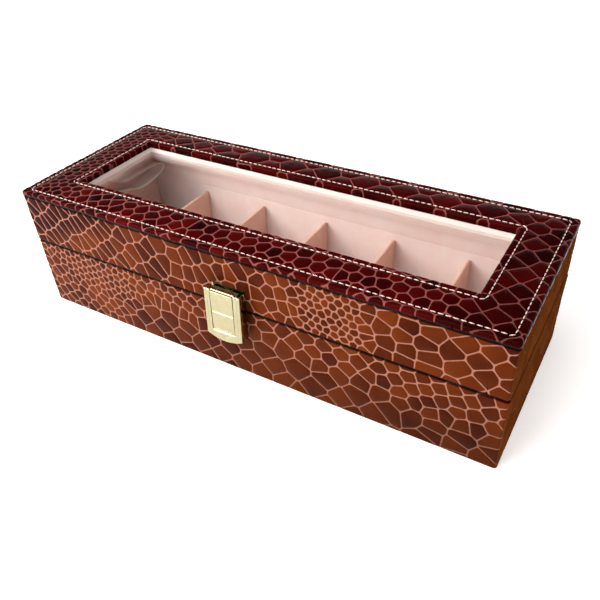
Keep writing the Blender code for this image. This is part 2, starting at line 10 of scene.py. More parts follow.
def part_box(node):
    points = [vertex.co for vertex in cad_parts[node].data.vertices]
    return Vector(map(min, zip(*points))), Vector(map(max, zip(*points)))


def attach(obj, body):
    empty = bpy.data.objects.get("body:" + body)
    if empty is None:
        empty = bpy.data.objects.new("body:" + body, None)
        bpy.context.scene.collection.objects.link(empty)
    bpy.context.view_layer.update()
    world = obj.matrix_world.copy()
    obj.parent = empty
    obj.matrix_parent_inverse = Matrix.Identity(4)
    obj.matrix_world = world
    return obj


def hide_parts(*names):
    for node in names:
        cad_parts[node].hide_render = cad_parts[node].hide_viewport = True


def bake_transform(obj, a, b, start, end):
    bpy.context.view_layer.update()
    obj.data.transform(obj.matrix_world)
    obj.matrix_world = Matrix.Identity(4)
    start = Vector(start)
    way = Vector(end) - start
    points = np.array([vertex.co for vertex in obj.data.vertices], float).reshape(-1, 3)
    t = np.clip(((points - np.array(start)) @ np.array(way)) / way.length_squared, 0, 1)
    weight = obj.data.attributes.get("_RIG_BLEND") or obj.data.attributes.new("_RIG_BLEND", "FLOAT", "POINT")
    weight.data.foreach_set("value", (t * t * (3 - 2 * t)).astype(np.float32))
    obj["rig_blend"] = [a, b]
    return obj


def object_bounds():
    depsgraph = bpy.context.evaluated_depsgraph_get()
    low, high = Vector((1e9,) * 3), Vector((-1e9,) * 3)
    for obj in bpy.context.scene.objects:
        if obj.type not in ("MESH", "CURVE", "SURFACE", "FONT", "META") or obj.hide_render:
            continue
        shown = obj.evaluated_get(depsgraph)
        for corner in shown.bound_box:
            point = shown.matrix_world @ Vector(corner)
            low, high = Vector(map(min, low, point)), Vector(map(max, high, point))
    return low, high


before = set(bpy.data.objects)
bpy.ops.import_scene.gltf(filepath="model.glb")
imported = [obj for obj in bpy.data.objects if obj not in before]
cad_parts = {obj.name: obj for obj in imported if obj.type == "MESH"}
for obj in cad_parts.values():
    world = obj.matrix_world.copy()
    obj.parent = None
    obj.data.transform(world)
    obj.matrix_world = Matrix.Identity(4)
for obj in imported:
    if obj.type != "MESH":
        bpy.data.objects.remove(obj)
cad_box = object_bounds()


# ---------------------------------------------------------------------------
# The studio. The box stands on a sweep of white card. Two soft lights stand to
# the front left, a broad one hangs overhead and a weak one fills from behind,
# so the front is bright at its left end and falls off to the right.
# ---------------------------------------------------------------------------
def linear(hex_colour):
    """Linear colour, with alpha 1, of an sRGB hex value."""
    channels = [int(hex_colour[i : i + 2], 16) / 255 for i in (1, 3, 5)]
    return (*(c / 12.92 if c <= 0.04045 else ((c + 0.055) / 1.055) ** 2.4 for c in channels), 1.0)


def add_node(tree, kind, sockets=(), **options):
    """Adds a node. A socket, by name or number, takes a value, a node's output, or a node for its first."""
    made = tree.nodes.new(kind)
    for option, value in options.items():
        setattr(made, option, value)
    for socket, value in dict(sockets).items():
        if isinstance(value, bpy.types.Node):
            value = value.outputs[0]
        if isinstance(value, bpy.types.NodeSocket):
            tree.links.new(value, made.inputs[socket])
        else:
            made.inputs[socket].default_value = value
    return made


def new_material(name, **values):
    """A material whose Principled shader takes the values given; returns it, its tree and the shader."""
    material = bpy.data.materials.new(name)
    material.use_nodes = True
    tree = material.node_tree
    shader = tree.nodes["Principled BSDF"]
    for socket, value in values.items():
        shader.inputs[socket.replace("_", " ")].default_value = value
    return material, tree, shader


def mottle(tree, shader, pattern, dark, light, strength, height, relief=None):
    """Colours a surface between two tones by a pattern, and bumps it by that pattern or its own relief."""
    tones = add_node(tree, "ShaderNodeMix", {0: pattern, 6: linear(dark), 7: linear(light)}, data_type="RGBA")
    tree.links.new(tones.outputs[2], shader.inputs["Base Color"])
    bump = add_node(
        tree, "ShaderNodeBump", {"Height": relief or pattern, "Strength": strength, "Distance": height}
    )
    tree.links.new(bump.outputs["Normal"], shader.inputs["Normal"])


def add_mesh(name, bm, material=None, smooth=True):
    """Makes an object at the origin of a bmesh in place, and frees the bmesh."""
    mesh = bpy.data.meshes.new(name)
    bm.to_mesh(mesh)
    bm.free()
    mesh.polygons.foreach_set("use_smooth", [smooth] * len(mesh.polygons))
    if material:
        mesh.materials.append(material)
    piece = bpy.data.objects.new(name, mesh)
    bpy.context.scene.collection.objects.link(piece)
    return piece


FLOOR_REACH, SWEEP_OUT, SWEEP_UP = 2.0, 0.8, 1.2
floor_mesh = bmesh.new()
sweep = [(0, 0), (FLOOR_REACH, 0)]
for angle in (0.2, 0.4, 0.6, 0.8, 1.0, 1.2, 1.4, 1.57):
    sweep.append((FLOOR_REACH + SWEEP_OUT * math.sin(angle), SWEEP_UP * (1 - math.cos(angle))))
line = [floor_mesh.verts.new((out, 0, up)) for out, up in sweep]
line = line + [floor_mesh.edges.new(pair) for pair in zip(line, line[1:])]
bmesh.ops.spin(floor_mesh, geom=line, axis=(0, 0, 1), angle=math.tau, steps=48, use_merge=True)
bmesh.ops.remove_doubles(floor_mesh, verts=floor_mesh.verts, dist=1e-5)
card, card_tree, card_shader = new_material("white_card", Base_Color=linear("#F7F6F5"), Roughness=0.9)
card_shader.inputs["Specular IOR Level"].default_value = 0.1
# The card is lit from below as well, as on a light table.
card_shader.inputs["Emission Color"].default_value = linear("#FFFEFC")
card_shader.inputs["Emission Strength"].default_value = 0.40
floor = add_mesh("floor", floor_mesh, card)
floor.location.z = cad_box[0].z - 0.0002

for light_name, azimuth, elevation, distance, size, watts, colour in (
    ("key", -52, 36, 0.9, 0.5, 6.0, "#FFF4EA"),
    ("front", -22, 36, 0.9, 0.5, 4.4, "#FFF8F2"),
    ("overhead", 0, 76, 1.7, 1.0, 17, "#FFFBF8"),
    ("rear", 165, 50, 2.0, 1.4, 4, "#F4F6FF"),
):
    light = bpy.data.lights.new(light_name, "AREA")
    light.size = size
    light.energy = watts
    light.color = linear(colour)[:3]
    lamp = bpy.data.objects.new(light_name, light)
    turn, rise = math.radians(azimuth), math.radians(elevation)
    away = Vector((math.sin(turn) * math.cos(rise), -math.cos(turn) * math.cos(rise), math.sin(rise)))
    lamp.location = Vector((0, 0, 0.04)) + away * distance
    lamp.rotation_euler = away.to_track_quat("Z", "Y").to_euler()
    lamp.visible_glossy = light_name != "rear"
    bpy.context.scene.collection.objects.link(lamp)

world = bpy.data.worlds.new("soft_room")
world.use_nodes = True
world.node_tree.nodes["Background"].inputs["Color"].default_value = linear("#FFFFFF")
world.node_tree.nodes["Background"].inputs["Strength"].default_value = 0.12
bpy.context.scene.world = world
bpy.context.scene.view_settings.view_transform = "Standard"

camera_data = bpy.data.cameras.new("camera")
camera_data.lens = 38.31
camera_data.sensor_width = 36
camera_data.shift_x = -0.0367
camera_data.clip_start = 0.01
camera_data.clip_end = 50
camera = bpy.data.objects.new("camera", camera_data)
camera.location = (0.18034, -0.25891, 0.25689)
camera.rotation_euler = [math.radians(angle) for angle in (52.042, 2.112, 29.610)]
bpy.context.scene.collection.objects.link(camera)
bpy.context.scene.camera = camera


# ---------------------------------------------------------------------------
# Fibreboard carcass. Medium-density fibreboard, sawn and glued: four walls and
# a floor in the base, four walls and a top board with the window in the lid.
# The leather and the lining hide it, so the CAD boards keep their shape.
# ---------------------------------------------------------------------------
fibreboard, tree, shader = new_material("medium_density_fibreboard", Roughness=0.85)
shader.inputs["Specular IOR Level"].default_value = 0.2
place = add_node(tree, "ShaderNodeTexCoord")
# Pressed wood fibres, about 0.8 mm long.
fibres = add_node(tree, "ShaderNodeTexNoise", {"Vector": place.outputs["Object"], "Scale": 1250, "Detail": 4})
mottle(tree, shader, fibres, "#8A6442", "#B08A60", 0.3, 0.0001)


def refinish(material, slot, *nodes):
    """Gives carried-over CAD nodes their material."""
    for name in nodes:
        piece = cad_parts[name]
        piece.data.materials.clear()
        piece.data.materials.append(material)


SIDES = ("front", "back", "left", "right")
board_nodes = [f"{part}_{side}_panel" for part in ("base", "lid") for side in SIDES]
refinish(fibreboard, "fibreboard", *board_nodes, "base_floor_panel", "lid_top_board")


# ---------------------------------------------------------------------------
# Embossed leather covers of the base and the lid walls. One strip of split
# leather, plate-embossed with reptile scales and finished with a glossy coat,
# is glued round the walls and turned in over the rim and under the foot. Each
# scale is a low cushion about 0.3 mm proud of the pale grooves between.
# ---------------------------------------------------------------------------
MM = 0.001
WALL_X, WALL_Y = 150 * MM, 55 * MM
WALL_ROUND = 1.6 * MM
LEATHER_THICK = 0.9 * MM
# Where the faint stretch over the right end starts and stops, as front x.
FAINT_FROM, FAINT_TO = 152 * MM, 256 * MM


def sow(zones, seed):
    """Scale centres. Each zone holds low x, high x, low level, high level, pitch along, pitch across, turn,
    looseness and stagger, in mm and degrees. Where zones overlap, the first holds.
    """
    dice = random.Random(seed)
    found = []
    for rank, (x0, x1, v0, v1, along, across, turn, loose, stagger) in enumerate(zones):
        middle = Vector(((x0 + x1) / 2, (v0 + v1) / 2))
        reach = math.hypot(x1 - x0, v1 - v0) / 2
        tilt = Matrix.Rotation(math.radians(turn), 2)
        rows = math.ceil(reach / across)
        steps = math.ceil(reach / along)
        for j in range(-rows, rows + 1):
            for i in range(-steps, steps + 1):
                shift = Vector((dice.uniform(-loose, loose) * along, dice.uniform(-loose, loose) * across))
                spot = middle + tilt @ (Vector(((i + stagger * (j % 2)) * along, j * across)) + shift)
                if not (x0 <= spot.x < x1 and v0 <= spot.y < v1):
                    continue
                waver = 3 * math.sin(spot.y / 3.1) + 2 * math.sin(spot.x / 7)
                x, v = spot.x + waver, spot.y + waver
                if any(a <= x < b and c <= v < d for a, b, c, d, *_ in zones[:rank]):
                    continue
                near = 0.6 * min(along, across)
                if all(math.hypot(spot.x - p[0], spot.y - p[1]) > near for p in found):
                    found.append(tuple(spot))
    return np.array(found) * MM


def settle(centres, rounds, share=0.5, period=None):
    """Evens the scales out: each centre moves part of the way to the middle of its region.

    A strip that closes on itself has a period; copies of its first and last scales then make its ends match.
    """
    overlap = 25 * MM
    for step in range(rounds + 1):
        whole = centres
        if period:
            far = np.array((period, 0))
            along = centres[:, 0]
            whole = np.vstack((centres, centres[along < along.min() + overlap] + far))
            whole = np.vstack((whole, centres[along > along.max() - overlap] - far))
        if step == rounds:
            return whole
        cells = cells_round(whole)[: len(centres)]
        centres = np.array([c + share * (middle_of(np.array(cell)) - c) for c, cell in zip(centres, cells)])


def middle_of(polygon):
    """Centre of area of a flat polygon."""
    following = np.roll(polygon, -1, 0)
    cross = polygon[:, 0] * following[:, 1] - following[:, 0] * polygon[:, 1]
    return ((polygon + following) * cross[:, None]).sum(0) / (3 * cross.sum())


def cells_round(centres, margin=12 * MM):
    """The region nearest to each centre, as an anticlockwise polygon."""
    low, high = centres.min(0) - margin, centres.max(0) + margin
    cells = []
    for centre in centres:
        apart = np.hypot(*(centres - centre).T)
        corners = ((low[0], low[1]), (high[0], low[1]), (high[0], high[1]), (low[0], high[1]))
        polygon = [np.array(corner) for corner in corners]
        for j in np.argsort(apart)[1:40]:
            if apart[j] / 2 > max(np.hypot(*(p - centre)) for p in polygon):
                break
            toward = centres[j] - centre
            half = (centres[j] + centre) / 2
            side = [float((p - half) @ toward) for p in polygon]
            kept = []
            for k, p in enumerate(polygon):
                q, a, b = polygon[(k + 1) % len(polygon)], side[k], side[(k + 1) % len(polygon)]
                if a <= 0:
                    kept.append(p)
                if (a < 0 < b) or (b < 0 < a):
                    kept.append(p + (q - p) * (a / (a - b)))
            polygon = kept
        cells.append(polygon)
    return cells


def emboss(centres, seed, groove=0.26 * MM, shoulder=0.75 * MM, depth=0.30 * MM):
    """A flat sheet of scales in the XY plane.

    Its point layers say how far each point sinks, how pale it is, and the tone of its scale. From its outline
    inward a scale has a groove, a lip, a brow and a crown; groove and shoulder place the lip and the brow.
    """
    edge_step = 1.35 * MM
    widest_lip, widest_brow = 0.16, 0.40
    # Sink as a share of the depth, and paleness, of the lip, the brow and the crown.
    profile = ((0.88, 0.6), (0.22, 0.0), (0.04, 0.0))
    dice = random.Random(seed)
    points, relief, vein, tone, faces, known = [], [], [], [], [], {}

    def add_point(spot, sink, pale, own):
        points.append((*spot, 0))
        relief.append(-depth * sink)
        vein.append(pale)
        tone.append(own)
        return len(points) - 1

    for cell in cells_round(centres):
        ring = []
        for k, p in enumerate(cell):
            q = cell[(k + 1) % len(cell)]
            count = max(1, round(float(np.hypot(*(q - p))) / edge_step + 0.35))
            ring += [p + (q - p) * (i / count) for i in range(count)]
        keys = [(round(p[0] * 1e6), round(p[1] * 1e6)) for p in ring]
        ring = np.array([p for k, p in enumerate(ring) if keys[k] != keys[k - 1]])
        centre = ring.mean(0)
        area = np.abs(np.cross(ring - centre, np.roll(ring, -1, 0) - centre)).sum() / 2
        size = float(np.sqrt(area / math.pi))
        smooth = (np.roll(ring, 1, 0) + 2 * ring + np.roll(ring, -1, 0)) / 4
        tangent = np.roll(smooth, -1, 0) - np.roll(smooth, 1, 0)
        length = np.maximum(np.hypot(*tangent.T), 1e-9)
        inward = np.stack([-tangent[:, 1], tangent[:, 0]], 1) / length[:, None]
        lip = smooth + inward * min(groove, size * widest_lip)
        brow = smooth + inward * min(shoulder, size * widest_brow)
        crown = centre + (brow - centre) * 0.5
        own_tone = dice.random()
        outer = []
        for p in ring:
            key = (round(p[0] * 1e6), round(p[1] * 1e6))
            if key not in known:
                known[key] = add_point(p, 1.0, 1.0, 0.5)
            outer.append(known[key])
        loops = [outer]
        for line, (sink, pale) in zip((lip, brow, crown), profile):
            loops.append([add_point(p, sink, pale, own_tone) for p in line])
        hub = add_point(centre, 0.0, 0.0, own_tone)
        n = len(ring)
        for a, b in zip(loops, loops[1:]):
            faces += [(a[i], a[(i + 1) % n], b[(i + 1) % n], b[i]) for i in range(n)]
        faces += [(loops[-1][i], loops[-1][(i + 1) % n], hub) for i in range(n)]
    mesh = bpy.data.meshes.new("scales")
    mesh.from_pydata(points, [], faces)
    for label, values in (("relief", relief), ("vein", vein), ("tone", tone)):
        mesh.attributes.new(label, "FLOAT", "POINT").data.foreach_set("value", values)
    bm = bmesh.new()
    bm.from_mesh(mesh)
    bpy.data.meshes.remove(mesh)
    return bm


def slice_at(bm, place, facing, drop=False):
    """Cuts the sheet along a line; drop removes the side that the line faces."""
    geometry = bm.verts[:] + bm.edges[:] + bm.faces[:]
    bmesh.ops.bisect_plane(bm, geom=geometry, dist=1e-7, plane_co=place, plane_no=facing, clear_outer=drop)


class WallPath:
    """How a leather strip lies over a wall: v runs from one turned-in edge, up the wall, to the other."""

    def __init__(self, low, high, low_turn, high_turn, low_round, high_round):
        self.low, self.high, self.low_turn = low, high, low_turn
        self.low_round, self.high_round = low_round, high_round
        spans = (
            low_turn - low_round,
            math.pi / 2 * low_round,
            high - low - low_round - high_round,
            math.pi / 2 * high_round,
            high_turn - high_round,
        )
        self.ends = [sum(spans[: k + 1]) for k in range(5)]
        self.length = self.ends[-1]
        self.breaks = list(self.ends[:4])
        for k in (1, 3):
            self.breaks += [self.ends[k] - spans[k] * share for share in (0.25, 0.5, 0.75)]

    def __call__(self, v):
        """(inset from the outer face, level, outward part of the normal, upward part)."""
        a, b, c, d, _ = self.ends
        if v < a:
            return self.low_turn - v, self.low, 0, -1
        if v < b:
            t = (v - a) / self.low_round
            r = self.low_round
            return r - r * math.sin(t), self.low + r - r * math.cos(t), math.sin(t), -math.cos(t)
        if v < c:
            return 0, self.low + self.low_round + v - b, 1, 0
        if v < d:
            t = (v - c) / self.high_round
            r = self.high_round
            return r - r * math.cos(t), self.high - r + r * math.sin(t), math.cos(t), math.sin(t)
        return self.high_round + v - d, self.high, 0, 1


class RoundWalls:
    """The way round four walls with rounded corners: s starts at the back left corner, along the left wall."""

    def __init__(self, half_x, half_y, corner):
        self.half_x, self.half_y, self.corner = half_x, half_y, corner
        self.straights = [2 * (half_y - corner), 2 * (half_x - corner)] * 2
        self.arc = math.pi / 2 * corner
        self.length = sum(self.straights) + 4 * self.arc
        self.breaks = []
        start = 0
        for straight in self.straights:
            start += straight
            self.breaks += [start + self.arc * share for share in (0, 0.25, 0.5, 0.75, 1)]
            start += self.arc

    def __call__(self, s, inset):
        """(x, y, outward x, outward y) at a place along the walls and an inset from their outer face."""
        side = 0
        while side < 3 and s > self.straights[side] + self.arc:
            s -= self.straights[side] + self.arc
            side += 1
        bend = max(self.corner, inset)
        radius = max(self.corner - inset, 0)
        reach_x, reach_y = self.half_x - bend, self.half_y - bend
        heading = math.radians((-90, 0, 90, 180)[side])
        along = Vector((math.cos(heading), math.sin(heading)))
        out = Vector((along.y, -along.x))
        reach = abs(along.x) * reach_x + abs(along.y) * reach_y
        depth = abs(out.x) * reach_x + abs(out.y) * reach_y
        if s <= self.straights[side]:
            spot = out * (depth + radius) + along * (reach * (2 * s / self.straights[side] - 1))
            return spot.x, spot.y, out.x, out.y
        turn = (s - self.straights[side]) / self.corner
        facing = out * math.cos(turn) + along * math.sin(turn)
        spot = out * depth + along * reach + facing * radius
        return spot.x, spot.y, facing.x, facing.y


def smooth_step(low, high, value):
    t = min(max((value - low) / (high - low), 0), 1)
    return t * t * (3 - 2 * t)


def close_ring(bm, first, second):
    """Joins two loops of edges that both run once round the box's middle by a band of triangles."""

    def in_order(loop):
        verts = list({v for e in loop for v in e.verts})
        half_x = max(abs(v.co.x) for v in verts)
        half_y = max(abs(v.co.y) for v in verts)
        turned = sorted((math.atan2(v.co.y / half_y, v.co.x / half_x), v.index, v) for v in verts)
        return [(angle, v) for angle, _, v in turned]

    bm.verts.index_update()
    one, two = in_order(first), in_order(second)
    one.append((one[0][0] + math.tau, one[0][1]))
    two.append((two[0][0] + math.tau, two[0][1]))
    i = j = 0
    while i < len(one) - 1 or j < len(two) - 1:
        if j == len(two) - 1 or (i < len(one) - 1 and one[i + 1][0] <= two[j + 1][0]):
            corners = (one[i][1], one[i + 1][1], two[j][1])
            i += 1
        else:
            corners = (one[i][1], two[j + 1][1], two[j][1])
            j += 1
        bm.faces.new(corners)


def cover_walls(name, zones, seed, path, leather):
    """Lays an embossed strip round the walls along a path and closes it behind with its flesh side.

    Scales are sown by front x and level: the left wall comes before the front, the right and back walls after.
    """
    walls = RoundWalls(WALL_X, WALL_Y, WALL_ROUND)
    front_middle = walls.straights[0] + walls.arc + walls.straights[1] / 2
    begin = np.array((front_middle, path.ends[1] - path.low - path.low_round))
    centres = sow(zones, seed)
    along = (centres[:, 0] + begin[0]) / walls.length
    centres = settle(centres[(along >= 0) & (along < 1)] + begin, 1, 0.6, walls.length)
    bm = emboss(centres, seed)
    slice_at(bm, (0, 0, 0), (-1, 0, 0), drop=True)
    slice_at(bm, (walls.length, 0, 0), (1, 0, 0), drop=True)
    slice_at(bm, (0, 0, 0), (0, -1, 0), drop=True)
    slice_at(bm, (0, path.length, 0), (0, 1, 0), drop=True)
    for s in walls.breaks[:-1]:
        slice_at(bm, (s, 0, 0), (1, 0, 0))
    for v in path.breaks:
        slice_at(bm, (0, v, 0), (0, 1, 0))
    relief = bm.verts.layers.float["relief"]
    vein = bm.verts.layers.float["vein"]
    for vert in bm.verts:
        inset, level, out, up = path(vert.co.y)
        x, y, out_x, out_y = walls(vert.co.x, inset)
        # Pressing the strip round the edges of the boards flattens the scales there.
        near_rim = min(level - path.low, path.high - level)
        sink = vert[relief] * (0.2 + 0.8 * smooth_step(0.2 * MM, 1.8 * MM, near_rim))
        # The right end was pressed with the plate's faint edge.
        place = vert.co.x - begin[0]
        faint = smooth_step(FAINT_FROM - 4 * MM, FAINT_FROM + 1 * MM, place)
        faint *= smooth_step(FAINT_TO + 4 * MM, FAINT_TO, place)
        sink *= 1 - 0.35 * faint
        vert[vein] *= 1 - 0.34 * faint
        vert.co = (x + sink * out * out_x, y + sink * out * out_y, level + sink * up)
    bmesh.ops.remove_doubles(bm, verts=bm.verts, dist=2e-6)
    bmesh.ops.dissolve_degenerate(bm, edges=bm.edges, dist=1e-7)
    # Both turned-in edges go down their own thickness, back out to the wall, and meet behind the leather.
    behind = []
    last_inset = path(path.length)[0]
    for is_high, inset, away in ((True, last_inset, -LEATHER_THICK), (False, path.low_turn, LEATHER_THICK)):
        rim = path.high if is_high else path.low
        loop = [e for e in bm.edges if e.is_boundary and all(abs(v.co.z - rim) < 0.5 * MM for v in e.verts)]
        for step in range(2):
            made = bmesh.ops.extrude_edge_only(bm, edges=loop)["geom"]
            loop = [g for g in made if isinstance(g, bmesh.types.BMEdge)]
            for vert in [g for g in made if isinstance(g, bmesh.types.BMVert)]:
                if step == 0:
                    vert.co.z += away
                else:
                    vert.co.x *= (walls.half_x - LEATHER_THICK) / (walls.half_x - inset)
                    vert.co.y *= (walls.half_y - LEATHER_THICK) / (walls.half_y - inset)
        behind.append(loop)
    close_ring(bm, *behind)
    bmesh.ops.recalc_face_normals(bm, faces=bm.faces)
    for face in bm.faces:
        face.material_index = int(abs(face.normal.x) > 0.6)
    cover = add_mesh(name, bm, leather)
    cover.data.materials.append(end_leather)
    return cover


def embossed_leather(name, dark, light, vein, top_shade, shine, gloss, polish=0.24, foot=1.0, ends=1.0):
    """Plate-embossed split leather: dark scales, paler and duller grooves, fine creases and pores."""
    material, tree, shader = new_material(name, Coat_Weight=gloss, Coat_Roughness=0.14)
    shader.inputs["Specular IOR Level"].default_value = shine
    shader.inputs["Specular Tint"].default_value = linear("#E8B08C")
    place = add_node(tree, "ShaderNodeTexCoord").outputs["Object"]
    pale = add_node(tree, "ShaderNodeAttribute", attribute_name="vein").outputs["Fac"]
    tone = add_node(tree, "ShaderNodeAttribute", attribute_name="tone").outputs["Fac"]
    # Dye pools unevenly over patches about 25 mm across.
    patches = add_node(tree, "ShaderNodeTexNoise", {"Vector": place, "Scale": 40, "Detail": 3})
    both = add_node(tree, "ShaderNodeMath", {0: tone, 1: 0.55}, operation="MULTIPLY")
    both = add_node(tree, "ShaderNodeMath", {0: both, 1: patches.outputs["Fac"]}, operation="ADD")
    spread = add_node(tree, "ShaderNodeMapRange", {0: both, 1: 0.35, 2: 1.15})
    scale = add_node(tree, "ShaderNodeMix", {0: spread, 6: linear(dark), 7: linear(light)}, data_type="RGBA")
    body = scale.outputs[2]
    spot = add_node(tree, "ShaderNodeSeparateXYZ", {0: place})
    if top_shade:
        # The dye is deepest above a line that falls from the lid's upper edge to its left end.
        slope = add_node(tree, "ShaderNodeMath", {0: spot.outputs["X"], 1: -0.4}, operation="MULTIPLY")
        over = add_node(tree, "ShaderNodeMath", {0: slope, 1: spot.outputs["Z"]}, operation="ADD")
        amount = add_node(tree, "ShaderNodeMapRange", {0: over, 1: 0.1000, 2: 0.1130})
        deep = add_node(tree, "ShaderNodeMix", {0: amount, 6: body, 7: linear(top_shade)}, data_type="RGBA")
        body = deep.outputs[2]
    # The dye rubs into the grooves unevenly, over about 2 mm.
    rub = add_node(tree, "ShaderNodeTexNoise", {"Vector": place, "Scale": 500, "Detail": 3})
    worn = add_node(
        tree, "ShaderNodeMath", {0: rub.outputs["Fac"], 1: 0.5, 2: -0.25}, operation="MULTIPLY_ADD"
    )
    worn = add_node(tree, "ShaderNodeMath", {0: worn, 1: pale}, operation="ADD")
    edge = add_node(tree, "ShaderNodeMapRange", {0: worn, 1: 0.30, 2: 0.72}, interpolation_type="SMOOTHSTEP")
    whole = add_node(tree, "ShaderNodeMix", {0: edge, 6: body, 7: linear(vein)}, data_type="RGBA")
    # Painted shade: the leather is darkened within 1 mm of where base and lid meet and where the padded top
    # sits, as the shadow in those gaps.
    apart = []
    for level in GAP_SHADE_LEVELS:
        away = add_node(tree, "ShaderNodeMath", {0: spot.outputs["Z"], 1: level}, operation="SUBTRACT")
        apart.append(add_node(tree, "ShaderNodeMath", {0: away}, operation="ABSOLUTE"))
    nearest = add_node(tree, "ShaderNodeMath", {0: apart[0], 1: apart[1]}, operation="MINIMUM")
    gap_shade = add_node(tree, "ShaderNodeMapRange", {0: nearest, 1: 0.0006, 2: 0.0014, 3: 0.90, 4: 0.0})
    # The painted shade stops where the leather turns in over the rim, 1 mm behind the walls' outer face.
    proud = []
    for axis, half_wall in (("X", WALL_X), ("Y", WALL_Y)):
        size = add_node(tree, "ShaderNodeMath", {0: spot.outputs[axis]}, operation="ABSOLUTE")
        proud.append(add_node(tree, "ShaderNodeMath", {0: size, 1: half_wall}, operation="SUBTRACT"))
    outermost = add_node(tree, "ShaderNodeMath", {0: proud[0], 1: proud[1]}, operation="MAXIMUM")
    in_front = add_node(tree, "ShaderNodeMapRange", {0: outermost, 1: -0.0016, 2: -0.0009})
    gap_shade = add_node(tree, "ShaderNodeMath", {0: gap_shade, 1: in_front}, operation="MULTIPLY")
    outside_gap_shade = add_node(tree, "ShaderNodeMath", {0: 1.0, 1: gap_shade}, operation="SUBTRACT")
    # Painted shade: the leather is darkened a little toward the foot of the right end, where less light falls.
    lean = add_node(
        tree, "ShaderNodeMath",
        {0: spot.outputs["X"], 1: -0.12, 2: spot.outputs["Z"]},
        operation="MULTIPLY_ADD",
    )
    painted_foot_shade = add_node(tree, "ShaderNodeMapRange", {0: lean, 1: -0.014, 2: 0.026, 3: foot, 4: 1.0})
    value = add_node(tree, "ShaderNodeMath", {0: outside_gap_shade, 1: painted_foot_shade}, operation="MULTIPLY")
    # Painted shade: the short rails of the padded frame are darkened, as the shade that falls on them.
    painted_rail_shade = add_node(tree, "ShaderNodeMapRange", {0: proud[0], 1: -0.036, 2: -0.022, 3: 1.0, 4: ends})
    value = add_node(tree, "ShaderNodeMath", {0: value, 1: painted_rail_shade}, operation="MULTIPLY")
    toned_and_shaded = add_node(tree, "ShaderNodeHueSaturation", {"Value": value, "Color": whole.outputs[2]})
    tree.links.new(toned_and_shaded.outputs[0], shader.inputs["Base Color"])
    dull = add_node(tree, "ShaderNodeMapRange", {0: pale, 1: 0.0, 2: 1.0, 3: polish, 4: 0.5})
    tree.links.new(dull.outputs[0], shader.inputs["Roughness"])
    # Hair pores about 0.25 mm apart and creases about 1.5 mm apart.
    pores = add_node(tree, "ShaderNodeTexNoise", {"Vector": place, "Scale": 3000, "Detail": 2})
    creases = add_node(
        tree, "ShaderNodeTexNoise", {"Vector": place, "Scale": 650, "Detail": 5, "Distortion": 0.6}
    )
    fine = add_node(
        tree, "ShaderNodeBump", {"Height": pores.outputs["Fac"], "Strength": 0.15, "Distance": 0.00006}
    )
    coarse = add_node(
        tree, "ShaderNodeBump",
        {
            "Height": creases.outputs["Fac"],
            "Normal": fine.outputs["Normal"],
            "Strength": 0.2,
            "Distance": 0.00012,
        },
    )
    tree.links.new(coarse.outputs["Normal"], shader.inputs["Normal"])
    return material


base_low, base_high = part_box("base_leather_wrap")
lid_low, lid_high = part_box("lid_leather_wrap")
# Levels of the painted gap shade: where base and lid meet, and where the padded top sits.
GAP_SHADE_LEVELS = ((base_high.z + lid_low.z) / 2, lid_high.z)
# The walls' leather carries painted shade: dark lines at the gaps, and darker toward the foot of the right end
# (foot).
wall_leather = embossed_leather(
    "embossed_calf_brown", "#320B03", "#622A0C", "#9A6857", "#2A0201", shine=0.025, gloss=0.015, foot=0.5
)

# The two ends weren't polished, so they are matt.
end_leather = embossed_leather(
    "embossed_calf_brown_matt", "#56290F", "#693818", "#74442A", None, shine=0.0, gloss=0.0, polish=0.6
)

base_path = WallPath(base_low.z, base_high.z, 8 * MM, 5.8 * MM, 0.8 * MM, 1.1 * MM)
base_zones = [
    (-152, -128, -10, 30, 8.0, 5.2, -22, 0.20, 0.5),
    (-152, -74, 20, 58, 5.0, 4.2, 24, 0.24, 0.5),
    (-128, -84, -10, 20, 7.4, 5.6, -16, 0.22, 0.5),
    (-74, -22, 27, 58, 6.4, 5.6, -8, 0.22, 0.5),
    (-22, 27, 30, 58, 8.6, 6.4, -10, 0.22, 0.5),
    (-84, 30, -10, 27, 14.5, 8.2, -5, 0.12, 0.4),
    (27, 84, 24, 58, 11.0, 7.0, -7, 0.18, 0.4),
    (30, 104, -10, 24, 18.0, 8.8, -6, 0.12, 0.35),
    (84, 152, 21, 58, 9.6, 6.0, -24, 0.18, 0.5),
    (104, 152, -10, 21, 14.0, 7.2, -8, 0.14, 0.2),
    (-275, -152, -10, 58, 8.0, 6.5, 10, 0.22, 0.5),
    (152, 264, -10, 58, 14.0, 9.0, 8, 0.18, 0.5),
    (264, 560, -10, 58, 11.0, 7.5, -10, 0.20, 0.5),
]
base_cover = cover_walls("base_leather_cover", base_zones, 11, base_path, wall_leather)
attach(base_cover, "base")
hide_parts("base_leather_wrap")

lid_path = WallPath(lid_low.z, lid_high.z, 5.8 * MM, 10 * MM, 0.9 * MM, 1.2 * MM)
lid_zones = [
    (-152, -78, 34, 95, 5.6, 11.0, 34, 0.14, 0.5),
    (-78, -40, 34, 95, 7.2, 12.5, 30, 0.16, 0.5),
    (-40, 14, 34, 95, 7.6, 11.0, 18, 0.18, 0.5),
    (14, 38, 34, 95, 7.4, 8.0, 20, 0.22, 0.5),
    (38, 80, 34, 95, 4.6, 4.2, -12, 0.26, 0.5),
    (80, 118, 34, 95, 10.5, 7.6, -3, 0.12, 0.15),
    (118, 152, 34, 95, 12.5, 7.4, -4, 0.12, 0.3),
    (-275, -152, 34, 95, 8.0, 7.0, 15, 0.22, 0.5),
    (152, 264, 34, 95, 12.0, 8.0, 5, 0.20, 0.5),
    (264, 560, 34, 95, 10.0, 7.0, -8, 0.20, 0.5),
]
lid_cover = cover_walls("lid_leather_cover", lid_zones, 23, lid_path, wall_leather)
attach(lid_cover, "lid")
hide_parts("lid_leather_wrap")
